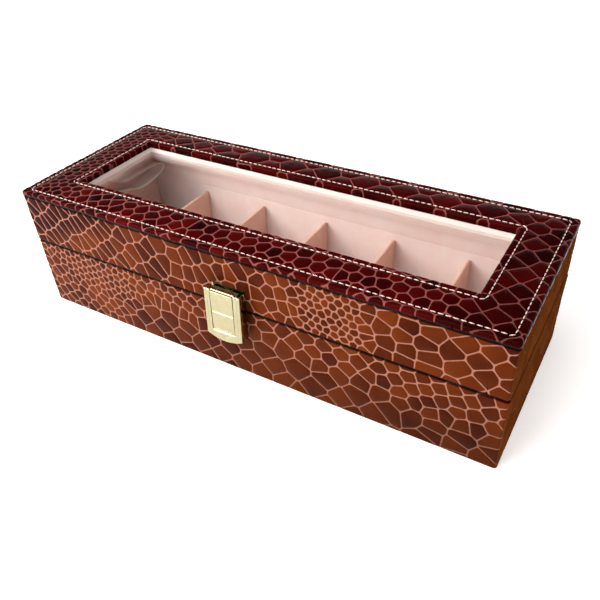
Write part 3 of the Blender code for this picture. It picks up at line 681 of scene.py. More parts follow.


# ---------------------------------------------------------------------------
# Padded leather frame on top of the lid. The same embossed leather, painted
# darker as shade, is wrapped over a foam-backed card frame round the window and
# sewn with two rows of stitches, which draw it down in shallow channels.
# ---------------------------------------------------------------------------
TOP_LOW, TOP_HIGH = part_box("lid_top_leather_frame")
TOP_X, TOP_Y = TOP_HIGH.x, TOP_HIGH.y
WINDOW_X, WINDOW_Y = 124.1 * MM, 30.0 * MM
PLAN_ROUND = 2.2 * MM
OUTER_ROUND = 1.5 * MM
INNER_ROUND = 1.2 * MM
OUTER_ROW = 4.4 * MM
INNER_ROW = 3.8 * MM


def outer_distance(x, y):
    """How far a point lies inside the frame's rounded outer outline."""
    over_x, over_y = abs(x) - (TOP_X - PLAN_ROUND), abs(y) - (TOP_Y - PLAN_ROUND)
    return PLAN_ROUND - math.hypot(max(over_x, 0), max(over_y, 0)) - min(max(over_x, over_y), 0)


def window_distance(x, y):
    return max(abs(x) - WINDOW_X, abs(y) - WINDOW_Y)


def pad_height(x, y):
    """Height of the padded leather over its foot, before its edges turn down."""
    outer, inner = outer_distance(x, y), window_distance(x, y)
    height = 3.0 * MM + 0.55 * MM * smooth_step(4 * MM, 10 * MM, outer)
    height += 0.2 * MM * smooth_step(14 * MM, 8 * MM, inner)
    height -= 0.38 * MM * math.exp(-(((outer - OUTER_ROW) / (0.9 * MM)) ** 2))
    return height - 0.36 * MM * math.exp(-(((inner - INNER_ROW) / (0.8 * MM)) ** 2))


def pad_point(x, y, sink):
    """Where a point of the flat sheet lies on the frame: near either edge it goes round a quarter circle."""
    outer, inner = outer_distance(x, y), window_distance(x, y)
    spot = Vector((x, y, TOP_LOW.z + pad_height(x, y)))
    if outer < OUTER_ROUND:
        step = 1e-5
        slope_x = (outer_distance(x + step, y) - outer_distance(x - step, y)) / (2 * step)
        slope_y = (outer_distance(x, y + step) - outer_distance(x, y - step)) / (2 * step)
        out = Vector((-slope_x, -slope_y, 0)).normalized()
        inside, radius = outer, OUTER_ROUND
    elif inner < INNER_ROUND:
        out = Vector((-math.copysign(1, x), 0, 0))
        if abs(x) - WINDOW_X <= abs(y) - WINDOW_Y:
            out = Vector((0, -math.copysign(1, y), 0))
        inside, radius = inner, INNER_ROUND
    else:
        return spot + Vector((0, 0, sink))
    turn = math.pi / 2 * (1 - max(inside, 0) / radius)
    spot += out * (inside - radius + radius * math.sin(turn))
    spot.z -= radius * (1 - math.cos(turn))
    return spot + (out * math.sin(turn) + Vector((0, 0, math.cos(turn)))) * sink


# Small scales at the left end, rounded ones along the front, long belly scales along the back.
top_zones = [
    (-165, -118, -65, 65, 6.0, 5.0, 25, 0.24, 0.5),
    (-118, -84, -65, -20, 9.5, 5.0, -14, 0.18, 0.5),
    (-84, -30, -65, -20, 9.5, 6.4, -8, 0.20, 0.5),
    (-30, 60, -65, -20, 8.6, 7.4, -4, 0.20, 0.5),
    (60, 122, -65, -20, 7.6, 7.0, 6, 0.20, 0.5),
    (-118, -60, 20, 65, 15.0, 8.4, 0, 0.12, 0.5),
    (-60, 122, 20, 65, 25.0, 8.8, 0, 0.07, 0.5),
    (122, 165, -65, 65, 13.0, 7.0, 6, 0.18, 0.5),
]
bm = emboss(settle(sow(top_zones, 5), 1), 5, groove=0.24 * MM, shoulder=0.70 * MM, depth=0.28 * MM)
# Most of the sheet over the window goes first; the rest goes once the window's edge is cut.
well_inside = [f for f in bm.faces if window_distance(*f.calc_center_median()[:2]) < -4 * MM]
bmesh.ops.delete(bm, geom=well_inside, context="FACES")
# Straight cuts all round leave the outer corners rounded.
CORNER_CUTS = 24
for step in range(CORNER_CUTS):
    angle = math.tau * step / CORNER_CUTS
    direction = Vector((math.cos(angle), math.sin(angle), 0))
    reach_x, reach_y = TOP_X - PLAN_ROUND, TOP_Y - PLAN_ROUND
    corner = Vector((math.copysign(reach_x, direction.x), math.copysign(reach_y, direction.y), 0))
    if abs(direction.x) < 1e-6 or abs(direction.y) < 1e-6:
        corner = Vector((direction.x * reach_x, direction.y * reach_y, 0))
    slice_at(bm, corner + direction * PLAN_ROUND, direction, drop=True)
# Cuts at these distances in mm let the sheet turn down at both edges and dip under both rows of stitches.
for sign in (-1, 1):
    for inset in (0.5, 1.0, 1.5, 3.4, 4.4, 5.4):
        slice_at(bm, (sign * (TOP_X - inset * MM), 0, 0), (sign, 0, 0))
        slice_at(bm, (0, sign * (TOP_Y - inset * MM), 0), (0, sign, 0))
    for outset in (0.0, 0.4, 0.8, 1.2, 2.9, 3.8, 4.7):
        slice_at(bm, (sign * (WINDOW_X + outset * MM), 0, 0), (sign, 0, 0))
        slice_at(bm, (0, sign * (WINDOW_Y + outset * MM), 0), (0, sign, 0))
over_window = [f for f in bm.faces if window_distance(*f.calc_center_median()[:2]) < 0]
bmesh.ops.delete(bm, geom=over_window, context="FACES")
relief = bm.verts.layers.float["relief"]
for vert in bm.verts:
    vert.co = pad_point(vert.co.x, vert.co.y, vert[relief])
bmesh.ops.remove_doubles(bm, verts=bm.verts, dist=1e-6)
# Both edges go straight down to the foot and meet in a flat back.
edges = [e for e in bm.edges if e.is_boundary]
made = bmesh.ops.extrude_edge_only(bm, edges=edges)["geom"]
for vert in [g for g in made if isinstance(g, bmesh.types.BMVert)]:
    vert.co.z = TOP_LOW.z
foot = [g for g in made if isinstance(g, bmesh.types.BMEdge)]
outer_foot = [e for e in foot if window_distance(*e.verts[0].co[:2]) > 10 * MM]
close_ring(bm, outer_foot, [e for e in foot if e not in set(outer_foot)])
bmesh.ops.recalc_face_normals(bm, faces=bm.faces)
# The top's leather is the walls' leather painted darker, as shade and dark reflection; ends=0.68 paints its
# short rails darker still, as shade.
shaded_top_leather = embossed_leather(
    "embossed_calf_oxblood",
    "#190102",
    "#460506",
    "#804643",
    None,
    shine=0.02,
    gloss=0.01,
    polish=0.2,
    ends=0.68,
)
top_frame = add_mesh("lid_top_padded_frame", bm, shaded_top_leather)
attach(top_frame, "lid")
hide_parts("lid_top_leather_frame")


# ---------------------------------------------------------------------------
# Stitching of the padded frame. Waxed polyester thread, 0.6 mm thick, sewn
# through leather and card at four stitches to 14 mm: one row near the outer
# edge and one round the window. Each stitch dips into its holes at both ends.
# ---------------------------------------------------------------------------
thread, tree, shader = new_material("waxed_polyester_thread", Base_Color=linear("#E9CFC6"), Roughness=0.45)
shader.inputs["Sheen Weight"].default_value = 0.3
along = add_node(tree, "ShaderNodeTexCoord").outputs["Object"]
# Two plies twisted once every 0.9 mm, drawn across both rows' directions.
ply = add_node(
    tree, "ShaderNodeTexWave", {"Vector": along, "Scale": 350, "Distortion": 1.5}, bands_direction="DIAGONAL"
)
mottle(tree, shader, ply.outputs["Fac"], "#C9A79C", "#F6E9E2", 0.6, 0.0001)

sewing = bpy.data.node_groups.new("sewn_row", "GeometryNodeTree")
sewing.interface.new_socket("Row", in_out="INPUT", socket_type="NodeSocketGeometry")
for label, size in (("Pitch", 3.5 * MM), ("Stitch length", 2.9 * MM), ("Thread thickness", 0.6 * MM)):
    sewing.interface.new_socket(label, in_out="INPUT", socket_type="NodeSocketFloat").default_value = size
sewing.interface.new_socket("Stitches", in_out="OUTPUT", socket_type="NodeSocketGeometry")
given = add_node(sewing, "NodeGroupInput")
line = add_node(sewing, "GeometryNodeMeshToCurve", {"Mesh": given.outputs["Row"]})
marks = add_node(
    sewing, "GeometryNodeResampleCurve", {"Curve": line, "Length": given.outputs["Pitch"]}, mode="LENGTH"
)
heading = add_node(sewing, "GeometryNodeInputTangent")
turned = add_node(sewing, "FunctionNodeAlignRotationToVector", {"Vector": heading}, axis="X", pivot_axis="Z")
bead = add_node(sewing, "GeometryNodeMeshUVSphere", {"Segments": 8, "Rings": 6, "Radius": 1})
half_length = add_node(
    sewing, "ShaderNodeMath", {0: given.outputs["Stitch length"], 1: 0.5}, operation="MULTIPLY"
)
half_thick = add_node(
    sewing, "ShaderNodeMath", {0: given.outputs["Thread thickness"], 1: 0.5}, operation="MULTIPLY"
)
stretch = add_node(sewing, "ShaderNodeCombineXYZ", {0: half_length, 1: half_thick, 2: half_thick})
stitch = add_node(sewing, "GeometryNodeTransform", {"Geometry": bead.outputs["Mesh"], "Scale": stretch})
placed = add_node(
    sewing, "GeometryNodeInstanceOnPoints", {"Points": marks, "Instance": stitch, "Rotation": turned}
)
real = add_node(sewing, "GeometryNodeRealizeInstances", {0: placed})
soft = add_node(sewing, "GeometryNodeSetShadeSmooth", {"Geometry": real})
dressed = add_node(sewing, "GeometryNodeSetMaterial", {"Geometry": soft, "Material": thread})
add_node(sewing, "NodeGroupOutput", {0: dressed})


def grow(name, seed_piece, tree, **sizes):
    """Runs a Geometry Nodes tree on an object and returns the result as a plain mesh; the seed object goes."""
    modifier = seed_piece.modifiers.new("grow", "NODES")
    modifier.node_group = tree
    for item in tree.interface.items_tree:
        if item.in_out == "INPUT" and item.name.replace(" ", "_") in sizes:
            modifier[item.identifier] = sizes[item.name.replace(" ", "_")]
    ready = seed_piece.evaluated_get(bpy.context.evaluated_depsgraph_get())
    mesh = bpy.data.meshes.new_from_object(ready)
    bpy.data.objects.remove(seed_piece)
    mesh.name = name
    grown = bpy.data.objects.new(name, mesh)
    bpy.context.scene.collection.objects.link(grown)
    return grown


def row_path(half_x, half_y, corner, lift):
    """A closed row on the padded leather, with slightly rounded corners, sampled every 1.5 mm."""
    walls = RoundWalls(half_x, half_y, corner)
    count = round(walls.length / (1.5 * MM))
    bm = bmesh.new()
    for k in range(count):
        x, y = walls(walls.length * k / count, 0)[:2]
        bm.verts.new((x, y, TOP_LOW.z + pad_height(x, y) + lift))
    bm.verts.ensure_lookup_table()
    for k in range(count):
        bm.edges.new((bm.verts[k], bm.verts[(k + 1) % count]))
    return add_mesh("row", bm)


for row_name, half_x, half_y, corner in (
    ("lid_outer_stitches", TOP_X - OUTER_ROW, TOP_Y - OUTER_ROW, 1.6 * MM),
    ("lid_window_stitches", WINDOW_X + INNER_ROW, WINDOW_Y + INNER_ROW, 0.8 * MM),
):
    row = grow(row_name, row_path(half_x, half_y, corner, 0.10 * MM), sewing, Stitch_length=2.9 * MM)
    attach(row, "lid")


# ---------------------------------------------------------------------------
# Window. A 1.9 mm float-glass pane lies on a velvet-covered card frame inside
# the lid; a pale satin tape lines the cut edge of the top board above it.
# ---------------------------------------------------------------------------
glass, tree, shader = new_material("float_glass", Base_Color=linear("#FEFFFF"), Roughness=0.02, IOR=1.45)
shader.inputs["Transmission Weight"].default_value = 1.0
# Lamps reach the velvet through the pane without bending.
path_kind = add_node(tree, "ShaderNodeLightPath")
passing = add_node(
    tree, "ShaderNodeMath",
    {0: path_kind.outputs["Is Shadow Ray"], 1: path_kind.outputs["Is Diffuse Ray"]},
    operation="MAXIMUM",
)
clear = add_node(tree, "ShaderNodeBsdfTransparent", {"Color": linear("#FDFFFE")})
pane = add_node(tree, "ShaderNodeMixShader", {0: passing, 1: shader, 2: clear})
tree.links.new(pane.outputs[0], tree.nodes["Material Output"].inputs["Surface"])
refinish(glass, "window_glass", "window_glass")

tape, tree, shader = new_material("woven_satin_tape", Base_Color=linear("#F1E7E0"), Roughness=0.38)
shader.inputs["Sheen Weight"].default_value = 0.25
place = add_node(tree, "ShaderNodeTexCoord").outputs["Object"]
# Satin floats 0.5 mm long across the tape.
floats = add_node(tree, "ShaderNodeTexNoise", {"Vector": place, "Scale": 1600, "Detail": 2, "Roughness": 0.6})
mottle(tree, shader, floats, "#F2EAE4", "#FFFDFB", 0.2, 0.00005)
refinish(tape, "ribbon_satin", "window_edge_lining")


# ---------------------------------------------------------------------------
# Velvet lining, dividers and the frame under the pane. Cotton velvet with a
# short pile, glued over card: the cloth rounds every edge by about 0.4 mm. The
# pile lies unevenly, so it shows paler and darker patches.
# ---------------------------------------------------------------------------
def pile_velvet(name, deep, bright, sheen):
    """Cotton velvet: matt, soft-edged, with a bright bloom where the pile is seen from the side."""
    material, tree, shader = new_material(name, Roughness=0.95)
    shader.inputs["Specular IOR Level"].default_value = 0.12
    shader.inputs["Sheen Weight"].default_value = sheen
    shader.inputs["Sheen Roughness"].default_value = 0.45
    shader.inputs["Sheen Tint"].default_value = linear("#FFF0EC")
    place = add_node(tree, "ShaderNodeTexCoord").outputs["Object"]
    # Pile tufts 0.35 mm apart and brushed patches about 12 mm across.
    tufts = add_node(
        tree, "ShaderNodeTexNoise", {"Vector": place, "Scale": 2800, "Detail": 3, "Roughness": 0.7}
    )
    brushed = add_node(
        tree, "ShaderNodeTexNoise", {"Vector": place, "Scale": 80, "Detail": 4, "Distortion": 0.8}
    )
    share = add_node(tree, "ShaderNodeMath", {0: tufts.outputs["Fac"], 1: 0.35}, operation="MULTIPLY")
    share = add_node(
        tree, "ShaderNodeMath", {0: brushed.outputs["Fac"], 1: 0.65, 2: share}, operation="MULTIPLY_ADD"
    )
    lay = add_node(tree, "ShaderNodeMapRange", {0: share, 1: 0.3, 2: 0.7})
    mottle(tree, shader, lay, deep, bright, 0.45, 0.0002, relief=tufts)
    return material


lining_velvet = pile_velvet("cotton_velvet_blush", "#FBE4E1", "#FFF6F6", 0.7)
# The dividers and the two side walls get a darker copy of the same velvet: painted shade, for the shadow that
# falls on them.
shaded_side_velvet = pile_velvet("cotton_velvet_apricot", "#E0AE9A", "#F0C9BA", 0.4)


def round_edges(bm, edges, radius, segments, clamp=True):
    bmesh.ops.bevel(
        bm, geom=edges, offset=radius, segments=segments, profile=0.5, affect="EDGES", clamp_overlap=clamp
    )


def rounded_slab(name, low, high, radius, material, segments=3):
    """A closed slab that fills a box, with every edge rounded."""
    bm = bmesh.new()
    fill = Matrix.Translation((low + high) / 2) @ Matrix.Diagonal((*(high - low), 1))
    bmesh.ops.create_cube(bm, size=1, matrix=fill)
    round_edges(bm, bm.edges[:], radius, segments)
    bmesh.ops.recalc_face_normals(bm, faces=bm.faces)
    return add_mesh(name, bm, material)


velvet_nodes = [f"base_{side}_lining" for side in (*SIDES, "floor")] + [f"lid_{side}_lining" for side in SIDES]
for node in velvet_nodes + [f"divider_{n}" for n in range(1, 6)]:
    low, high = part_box(node)
    is_side = node.startswith("divider") or node.endswith(("left_lining", "right_lining"))
    if node.startswith("lid"):
        # The cloth of the lid's lining just meets the base's when the lid is shut.
        low.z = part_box(node.replace("lid", "base"))[1].z + 0.04 * MM
    # Dividers and side walls take the velvet painted darker as shade.
    velvet = shaded_side_velvet if is_side else lining_velvet
    radius = (0.85 if node.startswith("divider") else 0.38) * MM
    panel = rounded_slab(f"{node}_velvet", low, high, radius, velvet, 4)
    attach(panel, "lid" if node.startswith("lid") else "base")
    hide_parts(node)


def join_rings(bm, ring, following):
    """Closes the wall between two rings of as many points each."""
    for i in range(len(ring)):
        j = (i + 1) % len(ring)
        bm.faces.new((ring[i], ring[j], following[j], following[i]))


def soft_ring(name, profile, radius, material):
    """A rectangular ring round the box's middle; its profile lists (half length, half width, level)."""
    bm = bmesh.new()
    rings = []
    for half_x, half_y, level in profile:
        quarters = ((1, 1), (-1, 1), (-1, -1), (1, -1))
        rings.append([bm.verts.new((a * half_x, b * half_y, level)) for a, b in quarters])
    for ring, following in zip(rings, rings[1:] + rings[:1]):
        join_rings(bm, ring, following)
    bmesh.ops.recalc_face_normals(bm, faces=bm.faces)
    sharp = [e for e in bm.edges if abs(e.calc_face_angle(0)) > 0.5]
    round_edges(bm, sharp, radius, 3)
    return add_mesh(name, bm, material)


retainer_low, retainer_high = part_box("window_retainer")
glass_low, glass_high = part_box("window_glass")
step_x, step_y = glass_high.x + 0.3 * MM, glass_high.y + 0.3 * MM
shelf = glass_low.z - 0.3 * MM
retainer = soft_ring(
    "window_frame_velvet",
    (
        (retainer_high.x, retainer_high.y, retainer_high.z),
        (step_x, step_y, retainer_high.z),
        (step_x, step_y, shelf),
        (127 * MM, 33 * MM, shelf),
        (127 * MM, 33 * MM, retainer_low.z),
        (retainer_high.x, retainer_high.y, retainer_low.z),
    ),
    0.35 * MM,
    lining_velvet,
)
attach(retainer, "lid")
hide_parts("window_retainer")


# ---------------------------------------------------------------------------
# Watch cushions. Six loose pads of foam in velvet, sewn from one wrap and two
# end panels; the wrap swells between the end seams, and each pad is flat only
# where it rests on the floor lining.
# ---------------------------------------------------------------------------
cushion_velvet = pile_velvet("cotton_velvet_rose_beige", "#DDA996", "#EFC8B9", 0.45)
pad_low, pad_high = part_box("cushion_1")
pad_size = pad_high - pad_low
# The form starts smaller by the usual swell; the cloth may move no further than the most.
SWELL, MOST_SWELL = 2.6 * MM, 7 * MM
END_SEAM = 4.5 * MM

bm = bmesh.new()
start_size = Vector((pad_size.x - 1.2 * MM, pad_size.y - 2 * SWELL, pad_size.z - 1.6 * SWELL))
bmesh.ops.create_cube(bm, size=1, matrix=Matrix.Diagonal((*start_size, 1)))
lengthwise = [e for e in bm.edges if abs((e.verts[0].co - e.verts[1].co).x) > 1e-6]
round_edges(bm, lengthwise, 11 * MM, 8, clamp=False)
round_edges(bm, [e for e in bm.edges if e.calc_face_angle(0) > 0.8], 3 * MM, 3, clamp=False)
pad = add_mesh("cushion_form", bm, cushion_velvet)


def apply_modifiers(piece):
    """Replaces a piece's mesh by what its modifiers make of it."""
    ready = piece.evaluated_get(bpy.context.evaluated_depsgraph_get())
    mesh = bpy.data.meshes.new_from_object(ready)
    piece.modifiers.clear()
    piece.data = mesh


remesh = pad.modifiers.new("even", "REMESH")
remesh.mode = "VOXEL"
remesh.voxel_size = 2 * MM
apply_modifiers(pad)
before = [v.co.copy() for v in pad.data.vertices]
cloth = pad.modifiers.new("cloth", "CLOTH")
cloth.settings.use_pressure = True
cloth.settings.uniform_pressure_force = 4
cloth.settings.effector_weights.gravity = 0
for frame_number in range(1, 21):
    bpy.context.scene.frame_set(frame_number)
apply_modifiers(pad)
bpy.context.scene.frame_set(1)
for vert, start in zip(pad.data.vertices, before):
    moved = vert.co - start
    if moved.length > MOST_SWELL:
        vert.co = start + moved.normalized() * MOST_SWELL

# The end seams draw the wrap in, the bays keep the ends flat, and the floor flattens the underside.
half = pad_size / 2
for vert in pad.data.vertices:
    x, y, z = vert.co
    seam = math.exp(-(((half.x - abs(x) - END_SEAM) / (1.1 * MM)) ** 2))
    spread = 1 - 0.035 * seam
    y, z = y * spread, z * spread
    vert.co = [max(-limit, min(limit, c)) for c, limit in zip((x, y, z), half)]
finer = pad.modifiers.new("finer", "SUBSURF")
finer.levels = finer.render_levels = 1
apply_modifiers(pad)

for number in range(1, 7):
    mesh = pad.data.copy()
    middle = (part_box(f"cushion_{number}")[0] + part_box(f"cushion_{number}")[1]) / 2
    turned = Matrix.Rotation(math.pi * (number % 2), 4, "Z")
    mesh.transform(Matrix.Translation(middle) @ turned)
    mesh.polygons.foreach_set("use_smooth", [True] * len(mesh.polygons))
    cushion = bpy.data.objects.new(f"cushion_{number}_velvet", mesh)
    bpy.context.scene.collection.objects.link(cushion)
    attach(cushion, f"cushion_{number}")
    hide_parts(f"cushion_{number}")
bpy.data.objects.remove(pad)


# ---------------------------------------------------------------------------
# Lid stay. A 12 mm satin ribbon, glued behind the linings of base and lid at
# the left end. Shut, it folds back on itself over the first compartment; open,
# it is taut and stops the lid.
# ---------------------------------------------------------------------------
ribbon_satin, tree, shader = new_material(
    "polyester_satin_ribbon", Base_Color=linear("#D8BFB2"), Roughness=0.36
)
shader.inputs["Sheen Weight"].default_value = 0.3
shader.inputs["Anisotropic"].default_value = 0.5
place = add_node(tree, "ShaderNodeTexCoord").outputs["Object"]
# Warp floats show as fine lines, drawn 0.4 mm apart so that they are seen.
warp = add_node(tree, "ShaderNodeTexNoise", {"Vector": place, "Scale": 2500, "Detail": 2})
mottle(tree, shader, warp, "#F4DDD3", "#FFF6F1", 0.15, 0.00005)

RIBBON_WIDE, RIBBON_THICK = 12 * MM, 0.6 * MM
ribbon_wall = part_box("base_left_lining")[1].x + 0.3 * MM + RIBBON_THICK / 2
# Each point is (x from the wall, y, z, share of the quarter twist from upright to flat), in mm.
ribbon_route = (
    (0, 6, 42.5, 0),
    (0, 6.6, 45.2, 0),
    (4.2, 12, 48.4, 0.4),
    (6.4, 20, 49.8, 0.9),
    (6.6, 30, 50.7, 1),
    (6.6, 39, 52, 1),
    (6.6, 43.2, 54, 1),
    (6.6, 44.6, 56.2, 1),
    (6.6, 43.2, 58.4, 1),
    (6.6, 39, 59.7, 1),
    (6.6, 30, 60.3, 1),
    (6.4, 20, 61.1, 0.9),
    (4.2, 12, 62.4, 0.4),
    (0, 6.6, 65.2, 0),
    (0, 6, 68, 0),
)


def through(route, t):
    """A smooth curve through the route's points (Catmull-Rom), at a place t counted in points."""
    k = min(int(t), len(route) - 2)
    u = t - k
    picks = [route[min(max(k + d, 0), len(route) - 1)] for d in (-1, 0, 1, 2)]
    blend = (
        -0.5 * u + u * u - 0.5 * u**3,
        1 - 2.5 * u * u + 1.5 * u**3,
        0.5 * u + 2 * u * u - 1.5 * u**3,
        -0.5 * u * u + 0.5 * u**3,
    )
    return [sum(w * p[c] for w, p in zip(blend, picks)) for c in range(4)]


bm = bmesh.new()
PER_POINT, ACROSS = 6, 6
STEPS = PER_POINT * (len(ribbon_route) - 1)
samples = [through(ribbon_route, k / PER_POINT) for k in range(STEPS + 1)]
centres = [Vector((ribbon_wall + p[0] * MM, p[1] * MM, p[2] * MM)) for p in samples]
sides = []
for k, sample in enumerate(samples):
    along_it = (centres[min(k + 1, STEPS)] - centres[max(k - 1, 0)]).normalized()
    upright = along_it.cross(Vector((1, 0, 0))).normalized()
    over = upright.lerp(Vector((-1, 0, 0)), min(max(sample[3], 0), 1)).normalized()
    over = (over - along_it * over.dot(along_it)).normalized()
    out = along_it.cross(over).normalized()
    ring = []
    for face in (1, -1):
        places = range(ACROSS + 1) if face == 1 else range(ACROSS, -1, -1)
        for i in places:
            share = 2 * i / ACROSS - 1
            thick = RIBBON_THICK / 2 * (1 - 0.5 * abs(share) ** 6)
            ring.append(bm.verts.new(centres[k] + over * (share * RIBBON_WIDE / 2) + out * (face * thick)))
    sides.append(ring)
for ring, following in zip(sides, sides[1:]):
    join_rings(bm, ring, following)
bm.faces.new(sides[0])
bm.faces.new(sides[-1])
bmesh.ops.recalc_face_normals(bm, faces=bm.faces)
ribbon = add_mesh("lid_stay_satin_ribbon", bm, ribbon_satin)
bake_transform(ribbon, "base", "lid", start=(0, 0, 0.050), end=(0, 0, 0.059))
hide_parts("lid_stay_ribbon")


# ---------------------------------------------------------------------------
# Underside sheet. Short-pile felt, glued under the foot inside the turned-in
# leather, with rounded edges.
# ---------------------------------------------------------------------------
felt, tree, shader = new_material("wool_felt_black_brown", Base_Color=linear("#2A1C18"), Roughness=1.0)
shader.inputs["Sheen Weight"].default_value = 0.35
place = add_node(tree, "ShaderNodeTexCoord").outputs["Object"]
# Matted fibres, 0.6 mm.
fibres = add_node(
    tree, "ShaderNodeTexNoise", {"Vector": place, "Scale": 1700, "Detail": 5, "Distortion": 1.2}
)
mottle(tree, shader, fibres, "#1C1210", "#40302A", 0.5, 0.0002)
sheet = rounded_slab("base_underside_felt", *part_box("base_underside_sheet"), 0.35 * MM, felt)
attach(sheet, "base")
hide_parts("base_underside_sheet")


# ---------------------------------------------------------------------------
# Latch. Die-cast zinc, polished and plated pale champagne. The lever hangs from
# a pin between two ears on the lid's plate, and its hook catches the keeper on
# the base. A face plate is pressed into the lever's front.
# ---------------------------------------------------------------------------
def plated_metal(name, colour, shade, rough):
    """Polished plate over cast metal: mirror-bright, with faint polishing lines and a hazy lacquer."""
    material, tree, shader = new_material(name, Base_Color=linear(colour), Metallic=1.0, Coat_Weight=0.2)
    shader.inputs["Coat Roughness"].default_value = 0.1
    place = add_node(tree, "ShaderNodeTexCoord").outputs["Object"]
    # Haze in patches about 4 mm across, polishing lines 0.3 mm apart.
    haze = add_node(tree, "ShaderNodeTexNoise", {"Vector": place, "Scale": 250, "Detail": 4})
    dull = add_node(
        tree, "ShaderNodeMapRange", {0: haze.outputs["Fac"], 1: 0.3, 2: 0.75, 3: rough, 4: rough + 0.12}
    )
    tree.links.new(dull.outputs[0], shader.inputs["Roughness"])
    squeeze = add_node(tree, "ShaderNodeMapping", {"Vector": place, "Scale": (1, 1, 0.08)})
    lines = add_node(tree, "ShaderNodeTexNoise", {"Vector": squeeze, "Scale": 3200, "Detail": 2})
    mottle(tree, shader, haze, colour, shade, 0.06, 0.00003, relief=lines)
    return material


champagne = plated_metal("polished_champagne_plate", "#B5B191", "#A19C7A", 0.12)
refinish(champagne, "latch_metal", "latch_lid_plate", "latch_keeper_plate", "latch_pin")

lever_low, lever_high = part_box("latch_lever")
LEVER_HALF = lever_high.x
LEVER_BOW = 2.7 * MM
FACE_TOP_Y, FACE_FOOT_Y = -62.0 * MM, -64.6 * MM
EDGE_ROUND = 0.9 * MM
LEVER_WALL = 0.8 * MM
LEVER_SKIN = 1.3 * MM


def lever_face(z):
    """Where the lever's front lies at a level: its foot stands forward of its head."""
    share = (lever_high.z - z) / (lever_high.z - lever_low.z - LEVER_BOW)
    return FACE_TOP_Y + share * (FACE_FOOT_Y - FACE_TOP_Y)


def lever_foot(x):
    return lever_low.z + LEVER_BOW * (x / LEVER_HALF) ** 2


def pressed_plate(columns, rows, foot, top, depth):
    """A grid in x and z, bowed at its foot and pressed to a depth; returns it and its outline in order."""
    bm = bmesh.new()
    grid = []
    for x in columns:
        grid.append([])
        for share in rows:
            z = foot(x) + (top - foot(x)) * share
            grid[-1].append(bm.verts.new((x, depth(x, z), z)))
    for one, two in zip(grid, grid[1:]):
        for a, b, c, d in zip(one, one[1:], two[1:], two):
            bm.faces.new((a, b, c, d))
    outline = [column[0] for column in grid] + grid[-1][1:]
    outline += [column[-1] for column in grid[-2::-1]] + grid[0][-2:0:-1]
    return bm, outline


def round_over(x, z, half, foot, top, radius):
    """How far a pressed edge turns back at a point of the plate."""
    d = min(half - abs(x), z - foot, top - z)
    return radius - math.sqrt(max(radius**2 - max(radius - d, 0) ** 2, 0))


def lever_depth(x, z):
    y = lever_face(z) + round_over(x, z, LEVER_HALF, lever_foot(x), lever_high.z, EDGE_ROUND)
    tray = smooth_step(7.55 * MM, 7.25 * MM, abs(x)) * smooth_step(34.7 * MM, 35.1 * MM, z)
    # A line is pressed round the sides and foot of the rim, half-way across it.
    rim = max(abs(x) - 9.4 * MM, 32.9 * MM - z)
    line = 0.30 * MM * math.exp(-((rim / (0.34 * MM)) ** 2))
    return y + 0.8 * MM * tray + line * (1 - tray)


# Columns crowd at the tray's step, at the pressed line and at the rounded edge; rows at both ends.
half_columns = [0, 1.5, 3, 4.5, 6, 6.8, 7.2, 7.3, 7.4, 7.5, 7.6, 7.9, 8.5, 8.9, 9.1, 9.25, 9.4, 9.55, 9.7]
half_columns += [9.9, 10.2, 10.5, 10.7, 10.9, 11.05, 11.2, 11.3, 11.37, 11.4]
columns = [-c * MM for c in half_columns[:0:-1]] + [c * MM for c in half_columns]
rows = [0, 0.001, 0.004, 0.009, 0.016, 0.024] + [0.032 + 0.936 * k / 90 for k in range(91)]
rows += [0.976, 0.984, 0.991, 0.996, 0.999, 1]
bm, outline = pressed_plate(columns, rows, lever_foot, lever_high.z, lever_depth)
middle_z = (lever_low.z + lever_high.z) / 2
share_x = (LEVER_HALF - LEVER_WALL) / LEVER_HALF
share_z = (lever_high.z - middle_z - LEVER_WALL) / (lever_high.z - middle_z)
previous = outline
for inset, level in ((False, None), (True, None), (True, LEVER_SKIN)):
    ring = []
    for vert in outline:
        x, z = vert.co.x, vert.co.z
        if inset:
            x, z = x * share_x, middle_z + (z - middle_z) * share_z
        ring.append(bm.verts.new((x, lever_high.y if level is None else lever_face(z) + level, z)))
    join_rings(bm, previous, ring)
    previous = ring
bm.faces.new(previous)
bmesh.ops.recalc_face_normals(bm, faces=bm.faces)
lever = add_mesh("latch_lever_tray", bm, champagne)
notches = bmesh.new()
for side in (-1, 1):
    centre = Vector((side * 9.85, -58.2, 60.6)) * MM
    size = Vector((1.7, 4.8, 3.2)) * MM
    bmesh.ops.create_cube(notches, size=1, matrix=Matrix.Translation(centre) @ Matrix.Diagonal((*size, 1)))
cutter = add_mesh("lever_notches", notches)
cut = lever.modifiers.new("notches", "BOOLEAN")
cut.object = cutter
cut.solver = "EXACT"
apply_modifiers(lever)
bpy.data.objects.remove(cutter)
tab_low = Vector((-5 * MM, lever_face(37.4 * MM) + 1.0 * MM, 37.0 * MM))
tab = rounded_slab("latch_hook_tab", tab_low, Vector((5 * MM, lever_high.y, 37.8 * MM)), 0.2 * MM, champagne)

panel_low, panel_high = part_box("latch_face_panel")
PANEL_HALF = panel_high.x
CREASE_Z = 47.2 * MM


def panel_depth(x, z):
    lean = (z - panel_low.z) / (lever_high.z - panel_low.z)
    y = lever_face(z) + 0.2 * MM - 0.6 * MM * lean
    y += round_over(x, z, PANEL_HALF, panel_low.z, panel_high.z, 0.35 * MM)
    # One crease crosses the plate; a shallow line follows the edge of its lower half, 1.3 mm in.
    y += 0.40 * MM * math.exp(-(((z - CREASE_Z) / (0.22 * MM)) ** 2))
    rim = min(PANEL_HALF - abs(x), z - panel_low.z) - 1.3 * MM
    return y + 0.30 * MM * math.exp(-((rim / (0.20 * MM)) ** 2)) * smooth_step(CREASE_Z, CREASE_Z - 1.5 * MM, z)


